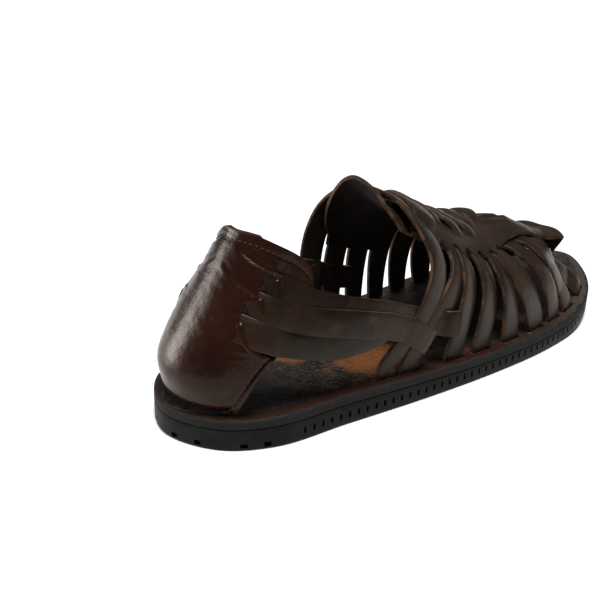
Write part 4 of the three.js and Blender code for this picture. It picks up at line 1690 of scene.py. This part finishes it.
@dataclass
class HeelCup:
    """Leather cup round the heel, with slits, a folded edge and stitching."""

    last: Last
    finishes: Wardrobe
    scale: tuple[float, float] = (69.0, 74.5)
    seam_turns: tuple[float, float, float] = (0.985, 0.452, 0.66)
    top_gap: float = 3.7
    front_gap: float = 3.4
    stitch: tuple[float, float, float] = (1.9, 0.48, 0.48)
    stitch_pitch: float = 2.6
    slits: tuple[Slit, ...] = (
        Slit(((0.6, 0.795), (0.64, 0.735), (0.685, 0.65))),
        Slit(((0.488, 0.703), (0.537, 0.645), (0.598, 0.56))),
        Slit(((0.397, 0.592), (0.435, 0.535), (0.508, 0.45), (0.603, 0.39), (0.67, 0.372))),
    )
    high: Profile = Profile(
        (0.0, 1.01), (0.22, 1.012), (0.385, 0.993), (0.6, 0.94), (0.797, 0.873), (0.92, 0.81),
        (0.97, 0.76), (1.0, 0.69),
    )
    low: Profile = Profile(
        (0.0, 0.014), (0.44, 0.014), (0.465, 0.012), (0.482, 0.02), (0.51, 0.073), (0.575, 0.18),
        (0.635, 0.285), (0.685, 0.352), (0.75, 0.39), (0.86, 0.45), (0.93, 0.51), (1.0, 0.6),
    )
    folds: tuple[Crease, ...] = (
        Crease((0.14, 0.945), (0.56, 0.825), 0.35, 1.0),
        Crease((0.22, 0.91), (0.6, 0.8), 0.4, 0.9),
        Crease((0.3, 0.955), (0.5, 0.885), 0.2, 0.7),
        Crease((0.26, 0.87), (0.48, 0.79), 0.2, 0.7),
        Crease((0.1, 0.83), (0.46, 0.712), 0.4, 1.0),
        Crease((0.2, 0.775), (0.45, 0.695), 0.3, 0.8),
        Crease((0.16, 0.855), (0.4, 0.79), 0.2, 0.7),
        Crease((0.18, 0.74), (0.38, 0.7), 0.2, 0.7),
        Crease((0.25, 0.622), (0.39, 0.6), 0.35, 0.9),
        Crease((0.2, 0.59), (0.37, 0.565), 0.2, 0.7),
        Crease((0.26, 0.65), (0.38, 0.625), 0.15, 0.6),
        Crease((0.34, 0.46), (0.51, 0.425), 0.3, 0.9),
        Crease((0.3, 0.415), (0.49, 0.385), 0.2, 0.7),
        Crease((0.4, 0.12), (0.52, 0.24), 0.3, 1.2),
    )

    def relief(self, turn: Array, height: Array) -> Array:
        """Height of the leather over the plain cup.

        Args:
            turn: from -1 to 1 round the cup.
            height: share of the cup's height.

        Returns:
            Millimetres outward.
        """
        reach = np.abs(turn)
        total = sum(fold.at(reach, height, self.scale) for fold in self.folds)
        p = np.stack([reach * self.scale[0], height * self.scale[1]], axis=-1)
        for slit in self.slits:
            line = np.array(slit.line) * self.scale
            best = np.full(reach.shape, 1e9)
            sign = np.ones(reach.shape)
            past = np.zeros(reach.shape)
            for k, (a, b) in enumerate(zip(line[:-1], line[1:])):
                d = b - a
                raw = ((p - a) @ d) / (d @ d)
                gap = p - a - np.clip(raw, 0, 1)[..., None] * d
                far = np.hypot(gap[..., 0], gap[..., 1])
                side = np.sign(d[0] * gap[..., 1] - d[1] * gap[..., 0])
                beyond = np.maximum(-raw, 0) * (k == 0)
                beyond = beyond + np.maximum(raw - 1, 0) * (k == len(line) - 2)
                sign = np.where(far < best, side, sign)
                past = np.where(far < best, beyond * np.hypot(*d), past)
                best = np.minimum(best, far)
            back = slit.lip * np.exp(-best / slit.lip_spread)
            front = -slit.dip * np.exp(-best / slit.dip_spread)
            middle = 0.5 * (back + front)
            step = mix(back, front, smooth(0.5 + (sign * best + 1.0) / 2.0)) - middle
            total = total + middle + step * np.exp(-((past / (slit.fade + best)) ** 2))
        return total

    def edges(self, turn: Array) -> tuple[Array, Array]:
        """Lower and upper edge of the cup at a turn."""
        reach = np.abs(turn)
        inner = 0.045 * smooth((reach - 0.1) / 0.25) + 0.025 * smooth(reach / 0.5)
        inner = np.where(turn > 0, inner, 0.0)
        return self.low(reach), self.high(reach) - inner

    def out(self, turn: Array, height: Array, offset: Array) -> Array:
        """Points at a distance outside the plain cup."""
        return offset_point(self.last.cup, turn, height, -offset)[0]

    def cup(self) -> bpy.types.Object:
        """Builds the cup with its slits."""

        def surface(u: Array, v: Array, depth: float) -> Array:
            """Sheet over shares of the way round and of the height, at a depth."""
            turn = 2 * u - 1
            low, high = self.edges(turn)
            height = mix(low, high, v)
            # hem of the top edge, with a groove under its seam
            below = (high - height) * self.scale[1]
            hem = 0.15 * smooth((3.4 - below) / 1.0) - 0.25 * np.exp(-(((below - 3.8) / 0.7) ** 2))
            # the same along the lower front edges, which stand free of the footbed
            above = (height - low) * self.scale[1]
            front = smooth((np.abs(turn) - 0.44) / 0.04)
            hem = hem + front * 0.8 * smooth((3.8 - above) / 0.6)
            hem = hem - front * 0.4 * np.exp(-(((above - 4.4) / 0.6) ** 2))
            tuck = 1.8 * smooth((5.0 - above) / 5.0) * (1 - front)
            lift = self.relief(turn, height) + hem * (depth == 0.0) - tuck
            return self.out(turn, height, lift - depth)

        item = Sheet(rows=300, columns=90, thick=2.0, bevel=0.4).lay(
            "heel_cup", surface, (190, 75), 0.5
        )
        return modified(item)

    def lips(self) -> bpy.types.Object:
        """Builds the turned edges of the slits, from under which the back straps come."""
        soup = Soup()
        edge = Strap(width=3.4, thick=1.3, crown=0.9, camber=0.15, stations=40)
        for side in Side:
            for slit in self.slits:
                line = spline(slit.line, 40)
                run = unit(np.gradient(line * self.scale, axis=0))
                back = np.stack([run[:, 1], -run[:, 0]], axis=1) * (1.5 / np.array(self.scale))
                turn, height = (line + back).T
                t = np.linspace(0, 1, len(line))
                rise = slit.lip * (1 - 0.5 * smooth((t - 0.85) / 0.15)) - 0.35
                rise = rise - 1.6 * smooth((0.14 - t) / 0.14)
                points, normal = offset_point(self.last.cup, side.value * turn, height, -rise)
                width = np.interp(t, [0, 0.12, 0.88, 1], [0.35, 1.0, 1.0, 0.4])
                edge.sweep(soup, points, -normal, width, 0.0, 0.5)
        return soup.build("heel_cup_slit_lips")

    def seams(self) -> list[Array]:
        """Paths of the stitches: under the top edge and along the lower front edges."""
        paths = []
        top, lower, front = self.seam_turns
        for turn, gap, upper in (
            (np.linspace(-top, top, 160), self.top_gap, True),
            (np.linspace(-lower, -front, 50), self.front_gap, False),
            (np.linspace(lower, front, 50), self.front_gap, False),
        ):
            low, high = self.edges(turn)
            if upper:
                height = high - gap / self.scale[1]
            else:
                height = low + 0.5 * gap / self.scale[1]
                turn = turn - np.sign(turn) * 0.8 * gap / self.scale[0]
            paths.append(self.out(turn, height, self.relief(turn, height) + 0.05))
        return paths

    def build(self) -> list[bpy.types.Object]:
        """Makes and dresses the cup and its stitches."""
        cup = self.cup()
        self.finishes.dress(cup, self.finishes.cup, self.finishes.cup_cut, self.finishes.flesh)
        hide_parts("heel_counter")
        sizes = dict(zip(Repeat.labels, (self.stitch_pitch, *self.stitch)))
        stitches = Repeat("cup_stitches", self.finishes.thread).apply(
            "heel_cup_stitches", None, self.seams(), sizes, 80.0
        )
        lips = self.lips()
        self.finishes.dress(lips, self.finishes.cup, self.finishes.cup_cut, self.finishes.flesh)
        return [cup, stitches, lips]


@dataclass
class Tongue:
    """Suede tongue under the instep strap, rising behind it."""

    last: Last
    finishes: Wardrobe
    sides: tuple[float, float] = (0.325, 0.83)
    front: float = 0.52
    under: float = 2.9
    rear: Profile = Profile(
        (0.25, 0.43), (0.3, 0.425), (0.4, 0.4), (0.46, 0.385), (0.52, 0.375), (0.58, 0.372),
        (0.65, 0.366), (0.72, 0.362), (0.77, 0.366), (0.8, 0.378),
    )
    rise: Profile = Profile(
        (0.25, 0.0), (0.3, 0.3), (0.4, 3.5), (0.46, 6.8), (0.52, 8.6), (0.58, 8.4), (0.65, 6.0),
        (0.72, 4.0), (0.77, 3.2), (0.8, 2.8),
    )

    def build(self) -> list[bpy.types.Object]:
        """Makes and dresses the tongue."""

        def surface(u: Array, v: Array, depth: float) -> Array:
            """Sheet over shares of the length and the breadth, at a depth."""
            turn = mix(*self.sides, v)
            along = mix(self.rear(turn), self.front, u)
            rise = self.rise(turn) * (1 - u) ** 4.5
            return self.last.vamp_offset(along, turn, rise - self.under - depth)[0]

        sheet = Sheet(rows=60, columns=60, thick=2.2, bevel=0.5)
        item = modified(sheet.lay("tongue_flap", surface, (45, 50)))
        self.finishes.dress(
            item, self.finishes.strap, self.finishes.strap_cut, self.finishes.suede
        )
        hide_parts("tongue")
        return [item]


@dataclass(frozen=True)
class Studio:
    """Pale floor, soft light and the camera."""

    eye: tuple[float, float, float] = (-325.77, -336.76, 234.71)
    azimuth: float = -37.52
    elevation: float = 24.14
    roll: float = 1.5
    lens: float = 58.68
    room_light: float = 0.14

    def floor(self) -> None:
        """Lays the floor."""
        bpy.ops.mesh.primitive_plane_add(size=8.0, location=(0, 0, 0))
        plane = bpy.context.object
        plane.name = "studio_floor"
        shader = Shader("studio_paper")
        plane.data.materials.append(shader.finish((0.9, 0.9, 0.9, 1.0), 0.8, None, {}))
        plane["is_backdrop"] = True

    def lamp(
        self, name: str, place: Sequence[float], aim: Sequence[float], size: float, power: float
    ) -> None:
        """Hangs one soft light.

        Args:
            name: name of the light.
            place: position in metres.
            aim: point it faces, in metres.
            size: side of its square in metres.
            power: watts.
        """
        data = bpy.data.lights.new(name, "AREA")
        data.size = size
        data.energy = power
        lamp = bpy.data.objects.new(name, data)
        lamp.location = place
        direction = Vector(aim) - Vector(place)
        lamp.rotation_euler = direction.to_track_quat("-Z", "Y").to_euler()
        bpy.context.collection.objects.link(lamp)

    def sun(self, name: str, source: Sequence[float], spread: float, power: float) -> None:
        """Hangs a wide even light.

        Args:
            name: name of the light.
            source: direction it comes from.
            spread: its width in degrees.
            power: watts per square metre.
        """
        data = bpy.data.lights.new(name, "SUN")
        data.energy = power
        data.angle = math.radians(spread)
        lamp = bpy.data.objects.new(name, data)
        lamp.rotation_euler = (-Vector(source)).to_track_quat("-Z", "Y").to_euler()
        bpy.context.collection.objects.link(lamp)

    def camera(self) -> None:
        """Sets the camera at the photograph's angle."""
        a, e, r = (math.radians(v) for v in (self.azimuth, self.elevation, self.roll))
        back = Vector((math.sin(a) * math.cos(e), -math.cos(a) * math.cos(e), math.sin(e)))
        right = (-back).cross(Vector((0, 0, 1))).normalized()
        up = right.cross(-back)
        across = right * math.cos(r) + up * math.sin(r)
        above = -right * math.sin(r) + up * math.cos(r)
        data = bpy.data.cameras.new("camera")
        data.sensor_width = 36.0
        data.lens = self.lens
        data.clip_start = 0.01
        camera = bpy.data.objects.new("camera", data)
        turn = Matrix((across, above, back)).transposed().to_4x4()
        camera.matrix_world = Matrix.Translation(Vector(self.eye) * MM) @ turn
        bpy.context.collection.objects.link(camera)
        bpy.context.scene.camera = camera

    def build(self) -> None:
        """Builds the whole stage."""
        self.floor()
        self.camera()
        scene = bpy.context.scene
        scene.view_settings.view_transform = "Standard"
        world = bpy.data.worlds.new("studio")
        world.use_nodes = True
        background = world.node_tree.nodes["Background"]
        background.inputs["Color"].default_value = (1.0, 1.0, 1.0, 1.0)
        background.inputs["Strength"].default_value = self.room_light
        scene.world = world
        self.sun("key_light", source=(-0.05, -0.12, 1.0), spread=24.0, power=3.9)
        self.lamp("left_light", place=(-0.8, 0.8, 0.22), aim=(-0.12, 0, 0.06), size=0.45, power=8.5)


def main() -> None:
    """Builds the sandal piece by piece and reports each."""
    logging.basicConfig(level=logging.INFO, format="%(message)s")
    last = Last()
    finishes = Wardrobe()
    upper = Upper(last, finishes)
    pieces: list[bpy.types.Object] = []
    pieces += Sole(last, finishes).build(upper.feet())
    pieces += upper.build()
    pieces += HeelCup(last, finishes).build()
    pieces += Tongue(last, finishes).build()
    for item in pieces:
        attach(item, "root")
        item.data.calc_loop_triangles()
        LOG.info("%s: %d triangles", item.name, len(item.data.loop_triangles))
    Studio().build()
    box = lambda pair: [list(map(float, corner)) for corner in pair]
    {"cad": box(CAD_BOX), "visual": box(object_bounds())}


if __name__ == "__main__":
    main()
